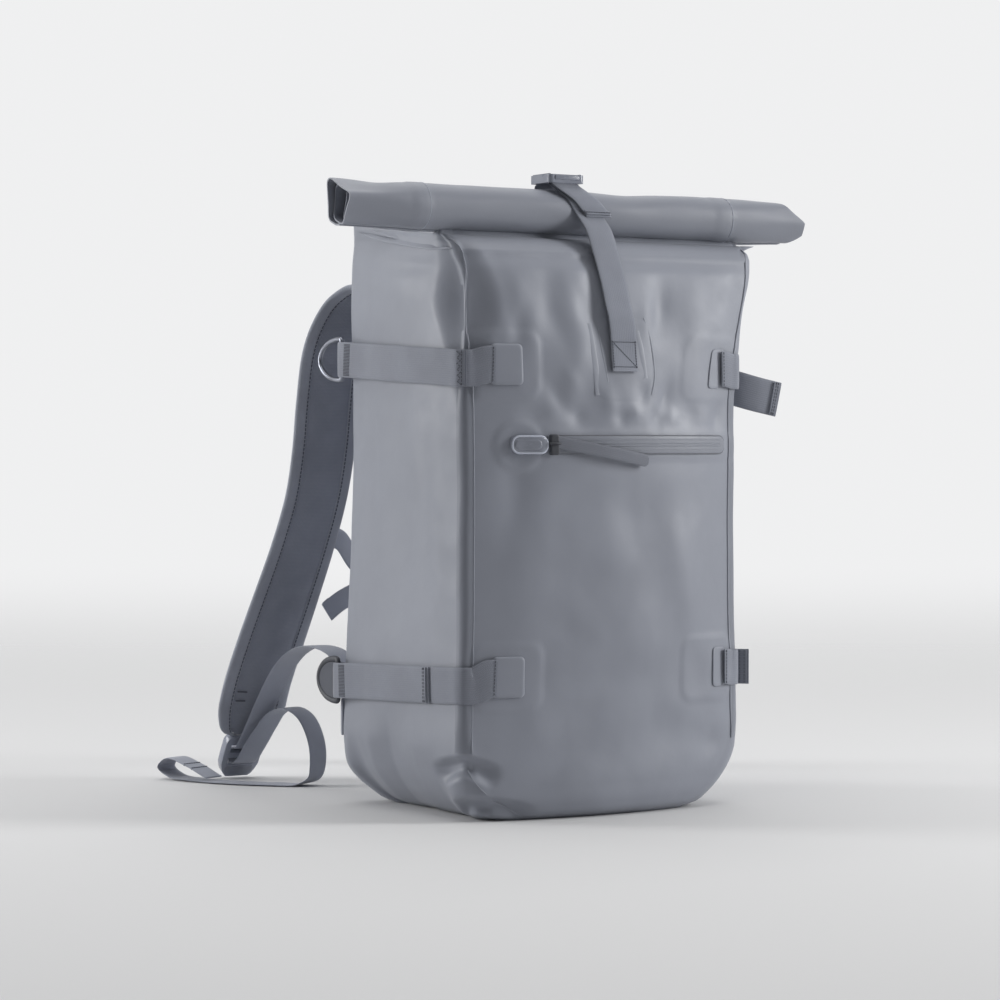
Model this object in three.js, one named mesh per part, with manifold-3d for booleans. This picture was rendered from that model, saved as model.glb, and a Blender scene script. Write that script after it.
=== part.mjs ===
// Roll-top waterproof backpack, in millimetres, +Z up.
// The front faces -Y, the wearer's side is +Y, and the flat base stands on Z = 0.
import * as THREE from 'three';
import { mergeVertices } from 'three/addons/utils/BufferGeometryUtils.js';
import Module from 'manifold-3d';

const wasm = await Module();
wasm.setup();

const WALL = 2; // coated fabric of the bag
const SEAT = 0.35; // clearance between a piece and what carries it
const PLAY = 0.3; // clearance between layers of webbing and round what they wrap
const SINK = 1.5; // depth to which a seated piece starts inside the bag before it is trimmed
const LEFT = -1;
const RIGHT = 1;

// Turns rows of numbers into objects with named columns.
function table(columns, rows) {
  return rows.map((row) => Object.fromEntries(columns.map((name, k) => [name, row[k]])));
}

// Bag sections from the base up to the shoulder: half width, front and back faces,
// how far each face crowns outwards, and the corner radii.
const SECTION_COLUMNS = [
  'z', 'halfWidth', 'front', 'back', 'frontCrown', 'backCrown', 'sideCrown', 'frontCorner', 'backCorner',
];
const SECTION_ROWS = [
  [0, 131, -91, 93, 4, 0, 1, 40, 42],
  [5, 137, -95, 98, 6, 1, 2, 38, 40],
  [16, 140.5, -97, 101, 8, 2, 3, 32, 35],
  [36, 143, -98, 104, 12, 3, 4, 23, 28],
  [62, 143.5, -98.5, 105, 16, 4, 5, 14, 21],
  [92, 143.5, -98.5, 105, 19, 5, 6, 9, 17],
  [200, 141.5, -98, 105, 24, 6, 7, 8, 15],
  [320, 142.5, -98, 105, 24, 6, 7, 8, 15],
  [400, 144, -97, 105, 19, 6, 6, 8, 15],
  [450, 148, -95.5, 105, 13, 5, 5, 9, 16],
  [480, 154, -93, 104, 7, 4, 4, 11, 18],
  [496, 159, -88, 101, 3, 2, 2, 13, 20],
];
const SECTIONS = table(SECTION_COLUMNS, SECTION_ROWS);
const SHOULDER = SECTIONS.at(-1);
const SHOULDER_BACK_RISE = 14; // the shoulder's back edge stands higher than its front edge
const SHOULDER_TILT_FROM = 430;
const ROOF_CROWN = 6;
const NECK_Z = 511;
const NECK = {
  halfWidth: 212,
  front: -62,
  back: -52,
  frontCrown: 0,
  backCrown: 0,
  sideCrown: 0,
  frontCorner: 3.5,
  backCorner: 3.5,
};
const BODY_LEVELS = [
  0, 5, 16, 36, 62, 92, 128, 164, 200, 240, 280, 320, 358, 394, 428, 456, 480, 496,
];
const ROOF_STEPS = [0.3, 0.55, 0.78, 1];
const OUTLINE_STEPS = { front: 12, side: 7, back: 6, corner: 3 };

// Dents in the cloth, each a soft hollow: centre, half sizes, turn in degrees and depth;
// a negative depth stands proud.
const DENT_COLUMNS = ['across', 'z', 'halfWide', 'halfTall', 'turn', 'depth'];
const FRONT_DENTS = table(DENT_COLUMNS, [
  [-62, 452, 12, 34, -12, 3.5],
  [-88, 444, 9, 30, 8, -2.5],
  [62, 446, 12, 36, 14, 3.5],
  [-30, 358, 20, 22, 30, 3],
  [60, 366, 18, 20, -35, 3],
  [-98, 290, 16, 40, 0, 2.5],
  [40, 268, 44, 22, 10, 2.5],
  [-40, 210, 40, 26, -15, 2.5],
  [84, 190, 18, 60, 8, -2],
  [10, 120, 60, 20, 4, 2.5],
  [-104, 44, 16, 12, 20, 4],
]);
const SIDE_DENTS = table(DENT_COLUMNS, [
  [-84, 452, 12, 26, 0, 5],
  [10, 462, 46, 14, 6, -2.5],
  [-10, 250, 40, 60, 0, 2],
  [20, 70, 26, 18, 20, 3],
  [-72, 44, 14, 10, -10, 4.5],
]);

// Roll: the neck sheet wound on itself from the bottom, up the back and over to the front.
const ROLL = {
  y: -57,
  bottom: 511.5,
  halfDepth: 22,
  halfHeight: 22.5,
  sheet: 2.6,
  pitch: 3.3,
  turns: 2.125,
  steps: 30,
};
const ROLL_BOXINESS = 2.5; // superellipse power of the wound section
const ROLL_STATIONS = table(['x', 'tall'], [
  [-247, 1],
  [-190, 0.97],
  [-110, 1],
  [0, 0.98],
  [45, 0.94],
  [110, 1],
  [228, 0.99],
  [247, 0.84],
]);

const TAPE = { thick: 0.8, sideWidth: 12, frontWidth: 4, fromLevel: 4 };
const BACK_PANEL = { halfWidth: 117, fromZ: 62, toZ: 462, corner: 28, thick: 7 };

// Compression straps: webbing from a front pad round the corner to a ring and back over itself.
const WEBBING = { width: 32, thick: 1.6, hem: 10 };
const PAD = { inner: 86, outer: 114, height: 36, corner: 4, thick: 2.6 };
const RING_Y = 114;
const COMPRESSION = table(
  ['name', 'side', 'padZ', 'cornerZ', 'ringZ', 'wire', 'reach', 'tail'],
  [
    ['upper_left', LEFT, 397, 393.5, 406, 1.8, 36, 'corner'],
    ['lower_left', LEFT, 126, 119.5, 112, 3.2, 32, 'side'],
    ['upper_right', RIGHT, 396, 394, 406, 1.8, 36, 'loose'],
    ['lower_right', RIGHT, 126.5, 125, 112, 3.2, 32, 'loose_short'],
  ],
);
// Free ends of the straps: where the top layer stops lying on the side, and the points it then runs through.
const LOOSE_TAILS = {
  loose: table(['x', 'y', 'z'], [[154, -62, 384], [164, -76, 379], [180, -84, 374], [203, -88, 369]]),
  loose_short: table(['x', 'y', 'z'], [[153, -66, 124], [158, -80, 124], [168, -90, 124]]),
};
const LOOSE_FROM_Y = -40;
const SIDE_TAIL_Y = -46;
const LOOSE_HEM_SHARE = 0.74; // of a loose end's length, where its folded hem starts
// Where the under layer leaves the pad, climbs on to the seam tape and lies along the side.
const UNDER_FRONT = { lies: 119, climbed: 128 };
const UNDER_SIDE_Y = [-70, -46, -10, 30, 62, 88];
const TAPE_CLIMB = { from: 46, to: 70 };
// How the top layer comes down from the ring to the under layer: share of the ring's lift left at each place.
const LANDING = table(['y', 'lift'], [[104, 1], [92, 0.7], [80, 0.3], [66, 0]]);
const LYING_FROM_Y = 36;

const CLOSURE = { width: 28, thick: 1.6, hem: 9, bottomX: 10, bottomZ: 392, topX: -17 };
const ROLL_CLEAR = 0.6; // between the roll and the strap over it
const CLOSURE_PATCH = { x: 10, z: 402.5, width: 58, height: 71, corner: 10, thick: 1.2 };
const BUCKLE = {
  x: -19,
  y: -57,
  z: 563.5,
  width: 50,
  depth: 32,
  thick: 5,
  bar: 5,
  slot: 6,
  slotWidth: 33,
  corner: 4,
};

const ZIP = { fromX: -69.5, toX: 126, z: 327.5, height: 16, thick: 1.2 };
const ZIP_GARAGE = { fromX: -100, toX: -70, height: 17, thick: 4 };
const ZIP_SLIDER = { fromX: -68.5, toX: -60.5, height: 18, thick: 3.6 };
const ZIP_PULL = { fromX: -60, toX: 28, fromZ: 330, toZ: 313, width: 10, thick: 2.4, clear: 0.4 };

// Padded shoulder strap: centre line from the bag's back, above its panel, down to the ladder lock.
const SHOULDER_STRAP = { width: 63, thick: 11, edge: 4.5, stations: 15, taper: 3, narrowing: 0.38 };
const SHOULDER_ROUTE = table(['x', 'y', 'z'], [
  [-97, 102, 472],
  [-98, 116, 472],
  [-101, 130, 469],
  [-109, 146, 458],
  [-117, 159, 440],
  [-120, 173, 415],
  [-120, 191, 369],
  [-118, 208, 325],
  [-116, 226, 279],
  [-117, 246, 230],
  [-120, 266, 182],
  [-126, 284, 136],
  [-130.5, 300, 92],
  [-130, 312.3, 57.1],
  [-130, 316, 50.7],
  [-130, 319.7, 44.3],
]);

// Ladder lock: a plate with two slots, leaning from the strap's end down to the floor.
const LOCK = { x: -130, y: 332, z: 23, width: 37, thick: 7, lean: 30, top: -24, bottom: 22, corner: 6 };
const LOCK_SLOTS = table(['from', 'to'], [[-15, -6], [0, 8]]);
const LOCK_SLOT_WIDTH = 28;

// Adjuster webbing: from the tab on the bag, through the lock, over a loose loop and along the floor
// to a folded end. The turn is the angle of its width about Z, in degrees from +X.
const ADJUSTER = { width: 25, thick: 1.4, samples: 50 };
const ADJUSTER_ROUTE = table(['x', 'y', 'z', 'turn'], [
  [-130, 109.6, 70, 0],
  [-130, 110, 92, 0],
  [-131, 119, 116, 0],
  [-133, 140, 132, 0],
  [-134, 170, 138, 0],
  [-133, 202, 136, 0],
  [-132, 232, 126, 0],
  [-131, 258, 108, 0],
  [-130, 280, 82, 0],
  [-130, 298, 56, 0],
  [-130, 311, 39, 0],
  [-130, 317.5, 32.5, 0],
  [-130, 325, 30.6, 0],
  [-130, 335, 32, 0],
  [-130, 338.6, 26.5, 0],
  [-130, 336, 21, 0],
  [-130, 326.6, 16, 0],
  [-130, 317, 20, 0],
  [-130, 309, 28, 0],
  [-130, 300, 39, 0],
  [-129, 291, 52, 6],
  [-125, 280, 67, 12],
  [-118, 265, 73, 16],
  [-110, 250, 66, 18],
  [-105, 239, 47, 20],
  [-105, 233, 26, 22],
  [-109, 233, 9, 26],
  [-120, 241, 2, 30],
  [-139, 258, 1.4, 33],
  [-159, 281, 1.4, 30],
  [-175, 307, 1.4, 26],
  [-186, 334, 1.6, 22],
  [-194, 358, 3.5, 20],
  [-199, 371, 12, 20],
  [-195, 361, 21, 20],
  [-187, 337, 16, 22],
  [-177, 312, 5.2, 24],
]);
const TAB = { innerX: 119, midX: 132, outerX: 146, fromZ: 62, toZ: 94, thick: 2.4 };

// Chest strap between the shoulder straps, sagging to a plain buckle, with one free end.
const STERNUM = { width: 20, thick: 1.4, samples: 20 };
const STERNUM_ROUTE = table(['x', 'y', 'z'], [
  [-82, 246.5, 238],
  [-72, 248, 235],
  [-54, 252, 215],
  [-30, 254, 198],
  [0, 254, 192],
  [30, 254, 198],
  [54, 252, 215],
  [72, 248, 235],
  [82, 246.5, 238],
]);
const STERNUM_BUCKLE = { width: 36, height: 27, thick: 8, z: 192, corner: 6 };
const STERNUM_TAIL_ROUTE = table(['x', 'y', 'z'], [
  [-18.8, 247, 190],
  [-36, 245, 189],
  [-62, 240, 183],
  [-80, 238, 175],
  [-93, 237, 166],
]);

const COATED = { color: 0x82878f, roughness: 0.5, metalness: 0 };
const WOVEN = { color: 0x74797f, roughness: 0.8, metalness: 0 };
const PADDING = { color: 0x565b64, roughness: 0.9, metalness: 0 };
const MOULDED = { color: 0x555a63, roughness: 0.4, metalness: 0 };
const METAL = { color: 0xb4b8be, roughness: 0.3, metalness: 1 };

const vector = (x, y, z) => new THREE.Vector3(x, y, z);
const degrees = THREE.MathUtils.degToRad;
const mix = THREE.MathUtils.lerp;
const steps = (count, from, to) => Array.from({ length: count + 1 }, (_, k) => mix(from, to, k / count));

// The bag's surface

const sectionCurve = new THREE.CubicInterpolant(
  SECTIONS.map((row) => row.z),
  SECTION_ROWS.flatMap((row) => row.slice(1)),
  SECTION_COLUMNS.length - 1,
);

function sectionAt(z) {
  const values = sectionCurve.evaluate(THREE.MathUtils.clamp(z, 0, SHOULDER.z));
  return Object.fromEntries(SECTION_COLUMNS.slice(1).map((name, k) => [name, values[k]]));
}

function roofSection(t) {
  return Object.fromEntries(Object.keys(NECK).map((name) => [name, mix(SHOULDER[name], NECK[name], t)]));
}

function dentDepth(dents, across, z) {
  return dents.reduce((sum, dent) => {
    const turn = degrees(dent.turn);
    const a = across - dent.across;
    const b = z - dent.z;
    const u = (a * Math.cos(turn) + b * Math.sin(turn)) / dent.halfWide;
    const v = (b * Math.cos(turn) - a * Math.sin(turn)) / dent.halfTall;
    return sum + dent.depth * Math.exp(-u * u - v * v);
  }, 0);
}

// Stations round the outline, anticlockwise from above, each an edge and a place along it.
function outlineStations() {
  const run = (edge, count, from, to) => steps(count, from, to).map((s) => ({ edge, s }));
  const turn = (edge, count) => steps(count, 0, 1).slice(1, -1).map((s) => ({ edge, s }));
  const { front, side, back, corner } = OUTLINE_STEPS;
  return [
    ...run('front', front, -1, 1),
    ...turn('frontRight', corner),
    ...run('right', side, -1, 1),
    ...turn('backRight', corner),
    ...run('back', back, 1, -1),
    ...turn('backLeft', corner),
    ...run('left', side, 1, -1),
    ...turn('frontLeft', corner),
  ];
}
const STATIONS = outlineStations();

function cornerPoint(section, side, isFront, angle, inset) {
  const radius = isFront ? section.frontCorner : section.backCorner;
  const away = isFront ? -1 : 1;
  const centreY = isFront ? section.front + radius : section.back - radius;
  const reach = radius - inset;
  return [
    side * (section.halfWidth - radius + reach * Math.sin(angle)),
    centreY + away * reach * Math.cos(angle),
  ];
}

function frontPoint(section, x, z, inset) {
  const s = x / (section.halfWidth - section.frontCorner);
  return [x, section.front + inset - section.frontCrown * (1 - s * s) + dentDepth(FRONT_DENTS, x, z)];
}

function backPoint(section, x, inset) {
  const s = x / (section.halfWidth - section.backCorner);
  return [x, section.back - inset + section.backCrown * (1 - s * s)];
}

function sidePoint(section, side, y, z, inset) {
  const low = section.front + section.frontCorner;
  const high = section.back - section.backCorner;
  const s = THREE.MathUtils.mapLinear(y, low, high, -1, 1);
  const crown = section.sideCrown * Math.max(0, 1 - s * s);
  return [side * (section.halfWidth - inset + crown - dentDepth(SIDE_DENTS, y, z)), y];
}

function outlinePoint(section, station, z, inset) {
  const { edge, s } = station;
  const quarter = Math.PI / 2;
  const sideY = mix(section.front + section.frontCorner, section.back - section.backCorner, (s + 1) / 2);
  switch (edge) {
    case 'front': return frontPoint(section, s * (section.halfWidth - section.frontCorner), z, inset);
    case 'frontRight': return cornerPoint(section, RIGHT, true, s * quarter, inset);
    case 'right': return sidePoint(section, RIGHT, sideY, z, inset);
    case 'backRight': return cornerPoint(section, RIGHT, false, (1 - s) * quarter, inset);
    case 'back': return backPoint(section, s * (section.halfWidth - section.backCorner), inset);
    case 'backLeft': return cornerPoint(section, LEFT, false, s * quarter, inset);
    case 'left': return sidePoint(section, LEFT, sideY, z, inset);
    default: return cornerPoint(section, LEFT, true, (1 - s) * quarter, inset);
  }
}

function backShare(section, y) {
  return THREE.MathUtils.clamp((y - section.front) / (section.back - section.front), 0, 1);
}

function levelHeight(section, z, y) {
  const tilt = THREE.MathUtils.smoothstep(z, SHOULDER_TILT_FROM, SHOULDER.z);
  return z + SHOULDER_BACK_RISE * tilt * backShare(section, y);
}

function roofHeight(section, t, y) {
  const rise = mix(SHOULDER.z, NECK_Z, 1 - (1 - t) ** 2);
  return rise + (SHOULDER_BACK_RISE * (1 - t) + ROOF_CROWN * Math.sin(Math.PI * t)) * backShare(section, y);
}

// Rings of the bag from the base to the neck; a positive inset gives the inside of the wall.
function bodyRings(inset) {
  const walls = BODY_LEVELS.map((z) => {
    const section = sectionAt(z);
    return STATIONS.map((station) => {
      const [x, y] = outlinePoint(section, station, z, inset);
      return vector(x, y, z === 0 ? inset : levelHeight(section, z, y));
    });
  });
  const roof = ROOF_STEPS.map((t) => {
    const section = roofSection(t);
    return STATIONS.map((station) => {
      const [x, y] = outlinePoint(section, station, SHOULDER.z, inset);
      return vector(x, y, roofHeight(section, t, y) - inset * (1 - t));
    });
  });
  return [...walls, ...roof];
}

const onFront = (x, z, out) => {
  const [px, py] = frontPoint(sectionAt(z), x, z, -out);
  return vector(px, py, z);
};
const onBack = (x, z, out) => {
  const [px, py] = backPoint(sectionAt(z), x, -out);
  return vector(px, py, z);
};
const onSide = (side, y, z, out) => {
  const [px, py] = sidePoint(sectionAt(z), side, y, z, -out);
  return vector(px, py, z);
};
const onCorner = (side, angle, z, out) => {
  const [px, py] = cornerPoint(sectionAt(z), side, true, angle, -out);
  return vector(px, py, z);
};
// The roof between the back edge and the neck, on the middle line.
const onRoof = (x, y, out) => {
  const t = THREE.MathUtils.mapLinear(y, SHOULDER.back + SHOULDER.backCrown, NECK.back, 0, 1);
  return vector(x, y, roofHeight(roofSection(t), t, y) + out);
};

// Meshes

function signedVolume(points, faces) {
  return faces.reduce((sum, [a, b, c]) => sum + points[a].dot(points[b].clone().cross(points[c])) / 6, 0);
}

function geometryFrom(points, faces) {
  const outward = signedVolume(points, faces) > 0;
  const geometry = new THREE.BufferGeometry();
  geometry.setAttribute('position', new THREE.Float32BufferAttribute(points.flatMap((p) => p.toArray()), 3));
  geometry.setIndex(faces.flatMap(([a, b, c]) => (outward ? [a, b, c] : [a, c, b])));
  return geometry;
}

// Faces between two rings of point numbers.
function band(lower, upper) {
  return lower.flatMap((a, k) => {
    const next = (k + 1) % lower.length;
    return [[a, lower[next], upper[next]], [a, upper[next], upper[k]]];
  });
}

const fan = (ring) => ring.slice(1, -1).map((a, k) => [ring[0], a, ring[k + 2]]);
const flipped = (faces) => faces.map(([a, b, c]) => [a, c, b]);

// Closes a ring that runs out along one edge and back along the other, as a bent sheet's end does.
function sheetEnd(ring) {
  const half = ring.length / 2;
  return ring.slice(0, half - 1).flatMap((a, k) => {
    const b = ring.length - 1 - k;
    return [[a, ring[k + 1], ring[b - 1]], [a, ring[b - 1], ring[b]]];
  });
}

// Skins rings of equal length; the path is closed like a ring's, or capped at both ends.
function loft(rings, { closed = false, cap = fan } = {}) {
  const points = rings.flat();
  const size = rings[0].length;
  const numbers = rings.map((ring, k) => ring.map((_, j) => k * size + j));
  const faces = numbers.slice(0, -1).flatMap((ring, k) => band(ring, numbers[k + 1]));
  const ends = closed
    ? band(numbers.at(-1), numbers[0])
    : [...flipped(cap(numbers[0])), ...cap(numbers.at(-1))];
  return geometryFrom(points, [...faces, ...ends]);
}

// A sheet with two faces: each grid entry gives the point on face 0 and on face 1.
function sheet(grid) {
  const rings = grid.map((row) => [...row.map((at) => at(0)), ...row.map((at) => at(1)).reverse()]);
  return loft(rings, { cap: sheetEnd });
}

function solidOf(geometry) {
  return new wasm.Manifold(new wasm.Mesh({
    numProp: 3,
    vertProperties: new Float32Array(geometry.getAttribute('position').array),
    triVerts: new Uint32Array(geometry.getIndex().array),
  }));
}

function geometryOf(solid) {
  const mesh = solid.getMesh();
  const geometry = new THREE.BufferGeometry();
  geometry.setAttribute('position', new THREE.BufferAttribute(new Float32Array(mesh.vertProperties), 3));
  geometry.setIndex(new THREE.BufferAttribute(new Uint32Array(mesh.triVerts), 1));
  return geometry;
}

// The bag's outer form, grown by the seat clearance, which trims what lies on it.
const bagForm = solidOf(loft(bodyRings(-SEAT)));

function seated(geometry) {
  const pieces = solidOf(geometry).subtract(bagForm).decompose();
  return geometryOf(pieces.reduce((best, piece) => (piece.volume() > best.volume() ? piece : best)));
}

// A mirror image across the plane X = 0.
function mirrored(geometry) {
  const copy = geometry.clone().scale(-1, 1, 1);
  const index = Array.from(copy.getIndex().array);
  for (let k = 0; k < index.length; k += 3) {
    [index[k + 1], index[k + 2]] = [index[k + 2], index[k + 1]];
  }
  copy.setIndex(index);
  return copy;
}
const onSideOf = (side, geometry) => (side === LEFT ? geometry : mirrored(geometry));

// Bag and roll

function bodyShell() {
  const outer = bodyRings(0);
  const inner = bodyRings(WALL);
  const size = STATIONS.length;
  const number = (ring, offset) => ring.map((_, j) => offset + j);
  const outerRings = outer.map((ring, k) => number(ring, k * size));
  const innerRings = inner.map((ring, k) => number(ring, (outer.length + k) * size));
  const skins = (rings) => rings.slice(0, -1).flatMap((ring, k) => band(ring, rings[k + 1]));
  const points = [...outer.flat(), ...inner.flat(), vector(0, 0, 0), vector(0, 0, WALL)];
  const hub = (ring, centre) => ring.map((a, k) => [a, centre, ring[(k + 1) % size]]);
  return geometryFrom(points, [
    ...skins(outerRings),
    ...hub(outerRings[0], points.length - 2),
    ...flipped(skins(innerRings)),
    ...flipped(hub(innerRings[0], points.length - 1)),
    ...band(outerRings.at(-1), innerRings.at(-1)),
  ]);
}

// A point on the wound sheet: the angle runs from the bottom up the back, out moves off the outer face.
function rollPoint(angle, wound, out) {
  const inwards = ROLL.pitch * wound;
  const bend = (value) => Math.sign(value) * Math.abs(value) ** (2 / ROLL_BOXINESS);
  return {
    y: ROLL.y + (ROLL.halfDepth - inwards + out) * bend(Math.cos(angle)),
    z: ROLL.bottom + ROLL.halfHeight + (ROLL.halfHeight - inwards + out) * bend(Math.sin(angle)),
  };
}

function rollTop() {
  const winding = steps(ROLL.steps, 0, ROLL.turns);
  const place = (station, wound, out) => {
    const { y, z } = rollPoint(Math.PI * (2 * wound - 0.5), wound, out);
    return vector(station.x, y, ROLL.bottom + (z - ROLL.bottom) * station.tall);
  };
  const rings = ROLL_STATIONS.map((station) => [
    ...winding.map((wound) => place(station, wound, 0)),
    ...winding.map((wound) => place(station, wound, -ROLL.sheet)).reverse(),
  ]);
  return loft(rings, { cap: sheetEnd });
}

function seamTape(side) {
  const faceOut = [-SINK, SEAT + TAPE.thick];
  const grid = BODY_LEVELS.slice(TAPE.fromLevel).map((z) => {
    const section = sectionAt(z);
    const sideY = section.front + section.frontCorner;
    const frontX = side * (section.halfWidth - section.frontCorner);
    return [
      (face) => onSide(side, sideY + TAPE.sideWidth, z, faceOut[face]),
      ...steps(3, Math.PI / 2, 0).map((angle) => (face) => onCorner(side, angle, z, faceOut[face])),
      (face) => onFront(frontX - side * TAPE.frontWidth, z, faceOut[face]),
    ];
  });
  return seated(sheet(grid));
}

// A plate on the front or the back with rounded corners, given by its middle and size.
function plate(onFace, { x, z, width, height, corner, thick }, counts, base = SEAT) {
  const across = steps(counts.x, -1, 1).map((s) => Math.sin(s * Math.PI / 2) * width / 2);
  const grid = across.map((dx) => {
    const past = Math.max(0, Math.abs(dx) - (width / 2 - corner));
    const cut = corner - Math.sqrt(Math.max(corner * corner - past * past, (corner * 0.15) ** 2));
    return steps(counts.z, -height / 2 + cut, height / 2 - cut)
      .map((dz) => (face) => onFace(x + dx, z + dz, face === 0 ? base - SEAT - SINK : base + thick));
  });
  return seated(sheet(grid));
}

function backPanel() {
  const size = {
    x: 0,
    z: (BACK_PANEL.fromZ + BACK_PANEL.toZ) / 2,
    width: 2 * BACK_PANEL.halfWidth,
    height: BACK_PANEL.toZ - BACK_PANEL.fromZ,
    corner: BACK_PANEL.corner,
    thick: BACK_PANEL.thick,
  };
  return plate(onBack, size, { x: 6, z: 8 });
}

// Compression straps

function anchorPad({ side, padZ }) {
  const size = {
    x: side * (PAD.inner + PAD.outer) / 2,
    z: padZ,
    width: PAD.outer - PAD.inner,
    height: PAD.height,
    corner: PAD.corner,
    thick: PAD.thick,
  };
  return plate(onFront, size, { x: 4, z: 3 });
}

const CORNER_Y = -98;
const strapHeight = (strap, y) => THREE.MathUtils.mapLinear(y, CORNER_Y, RING_Y, strap.cornerZ, strap.ringZ);

function ringAxis(strap) {
  const rest = onSide(strap.side, UNDER_SIDE_Y.at(-1), strap.ringZ, SEAT + WEBBING.thick + PLAY + strap.wire);
  return { x: rest.x, y: RING_Y, z: strap.ringZ };
}

// Rows across the webbing; each place gives the point at a height and a distance off the bag.
const webbingRow = (z, low, high, place) => [-1, 1].map(
  (edge) => (face) => place(z + edge * WEBBING.width / 2, face === 0 ? low : high),
);

// Height of the webbing's bed: it climbs over the seam tape near the corner.
function overTape(y) {
  const climb = THREE.MathUtils.smoothstep(-y, TAPE_CLIMB.from, TAPE_CLIMB.to);
  return SEAT + (TAPE.thick + PLAY) * climb;
}

function underLayer(strap) {
  const { side, padZ } = strap;
  const bed = overTape(CORNER_Y);
  const climb = UNDER_FRONT.climbed - PAD.outer;
  const places = [[PAD.outer + SEAT, SEAT], [UNDER_FRONT.lies, SEAT], [UNDER_FRONT.climbed, bed]];
  const front = places.map(([x, rest]) => webbingRow(
    mix(padZ, strap.cornerZ, (x - PAD.outer) / (2 * climb)),
    rest === bed ? bed : -SINK,
    rest + WEBBING.thick,
    (z, out) => onFront(side * x, z, out),
  ));
  const corner = steps(3, 0, Math.PI / 2).map((angle) => webbingRow(
    strapHeight(strap, CORNER_Y),
    bed,
    bed + WEBBING.thick,
    (z, out) => onCorner(side, angle, z, out),
  ));
  const flank = UNDER_SIDE_Y.map((y) => webbingRow(
    strapHeight(strap, y),
    -y >= TAPE_CLIMB.to ? bed : -SINK,
    overTape(y) + WEBBING.thick,
    (z, out) => onSide(side, y, z, out),
  ));
  return [...front, ...corner, ...flank];
}

function ringFold(strap) {
  const { side, wire } = strap;
  const axis = ringAxis(strap);
  const reach = [wire + PLAY + WEBBING.thick, wire + PLAY];
  return steps(5, -Math.PI / 2, Math.PI / 2).map((angle) => [-1, 1].map((edge) => (face) => vector(
    axis.x + side * reach[face] * Math.sin(angle),
    axis.y + reach[face] * Math.cos(angle),
    axis.z + edge * WEBBING.width / 2,
  )));
}

// The top layer's faces swap: face 0 is now the outer one.
function topRow(strap, y, rest, thick = WEBBING.thick) {
  const bed = rest + overTape(y);
  return webbingRow(strapHeight(strap, y), bed + thick, bed, (z, out) => onSide(strap.side, y, z, out));
}

function looseRows(points) {
  const route = new THREE.CatmullRomCurve3(points.map((p) => vector(p.x, p.y, p.z)));
  return steps(points.length * 2, 0, 1).map((t) => {
    const middle = route.getPointAt(t);
    const along = route.getTangentAt(t);
    const off = vector(along.y, -along.x, 0).normalize();
    const up = vector(0, 0, 1).addScaledVector(along, -along.z).normalize();
    const thick = t > LOOSE_HEM_SHARE ? 2 * WEBBING.thick : WEBBING.thick;
    return [-1, 1].map((edge) => (face) => middle.clone()
      .addScaledVector(up, edge * WEBBING.width / 2)
      .addScaledVector(off, face === 0 ? thick : 0));
  });
}

function topLayer(strap) {
  const rest = WEBBING.thick + PLAY;
  const lifted = rest + 2 * strap.wire + PLAY;
  const down = LANDING.map(({ y, lift }) => topRow(strap, y, mix(rest, lifted, lift)));
  const lying = (to) => steps(3, LYING_FROM_Y, to).map((y) => topRow(strap, y, rest));
  if (strap.tail === 'side') {
    const hemEnds = [SIDE_TAIL_Y - 0.5, SIDE_TAIL_Y - WEBBING.hem];
    const hem = hemEnds.map((y) => topRow(strap, y, rest, 2 * WEBBING.thick));
    return [...down, ...lying(SIDE_TAIL_Y), ...hem];
  }
  if (strap.tail === 'corner') {
    const z = strapHeight(strap, CORNER_Y);
    const bed = rest + overTape(CORNER_Y);
    const wrap = (angle, thick) => webbingRow(
      z, bed + thick, bed, (height, out) => onCorner(strap.side, degrees(angle), height, out),
    );
    const hem = [
      topRow(strap, -84, rest, 2 * WEBBING.thick),
      wrap(90, 2 * WEBBING.thick),
      wrap(60, 2 * WEBBING.thick),
      wrap(30, 2 * WEBBING.thick),
    ];
    return [...down, ...lying(-82), ...hem];
  }
  return [...down, ...lying(LOOSE_FROM_Y), ...looseRows(LOOSE_TAILS[strap.tail])];
}

function compressionStrap(strap) {
  return seated(sheet([...underLayer(strap), ...ringFold(strap), ...topLayer(strap)]));
}

// A D-ring standing in the plane of the bag's side: straight bar and round bow, of round wire.
function dRing(strap) {
  const axis = ringAxis(strap);
  const half = WEBBING.width / 2 + strap.wire + 1.2;
  const bow = steps(9, -Math.PI / 2, Math.PI / 2).map(
    (angle) => ({ y: 5 + (strap.reach - 5) * Math.cos(angle), z: half * Math.sin(angle) }),
  );
  const path = [...bow, { y: 0, z: half - 2 }, { y: 0, z: 0 }, { y: 0, z: 2 - half }];
  const rings = path.map((point, k) => {
    const before = path.at(k - 1);
    const after = path[(k + 1) % path.length];
    const along = Math.hypot(after.y - before.y, after.z - before.z);
    const off = { y: (after.z - before.z) / along, z: -(after.y - before.y) / along };
    return steps(6, 0, 2 * Math.PI).slice(0, -1).map((angle) => vector(
      axis.x + strap.wire * Math.sin(angle),
      axis.y + point.y + strap.wire * Math.cos(angle) * off.y,
      axis.z + point.z + strap.wire * Math.cos(angle) * off.z,
    ));
  });
  return loft(rings, { closed: true });
}

// Closure strap over the roll

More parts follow.
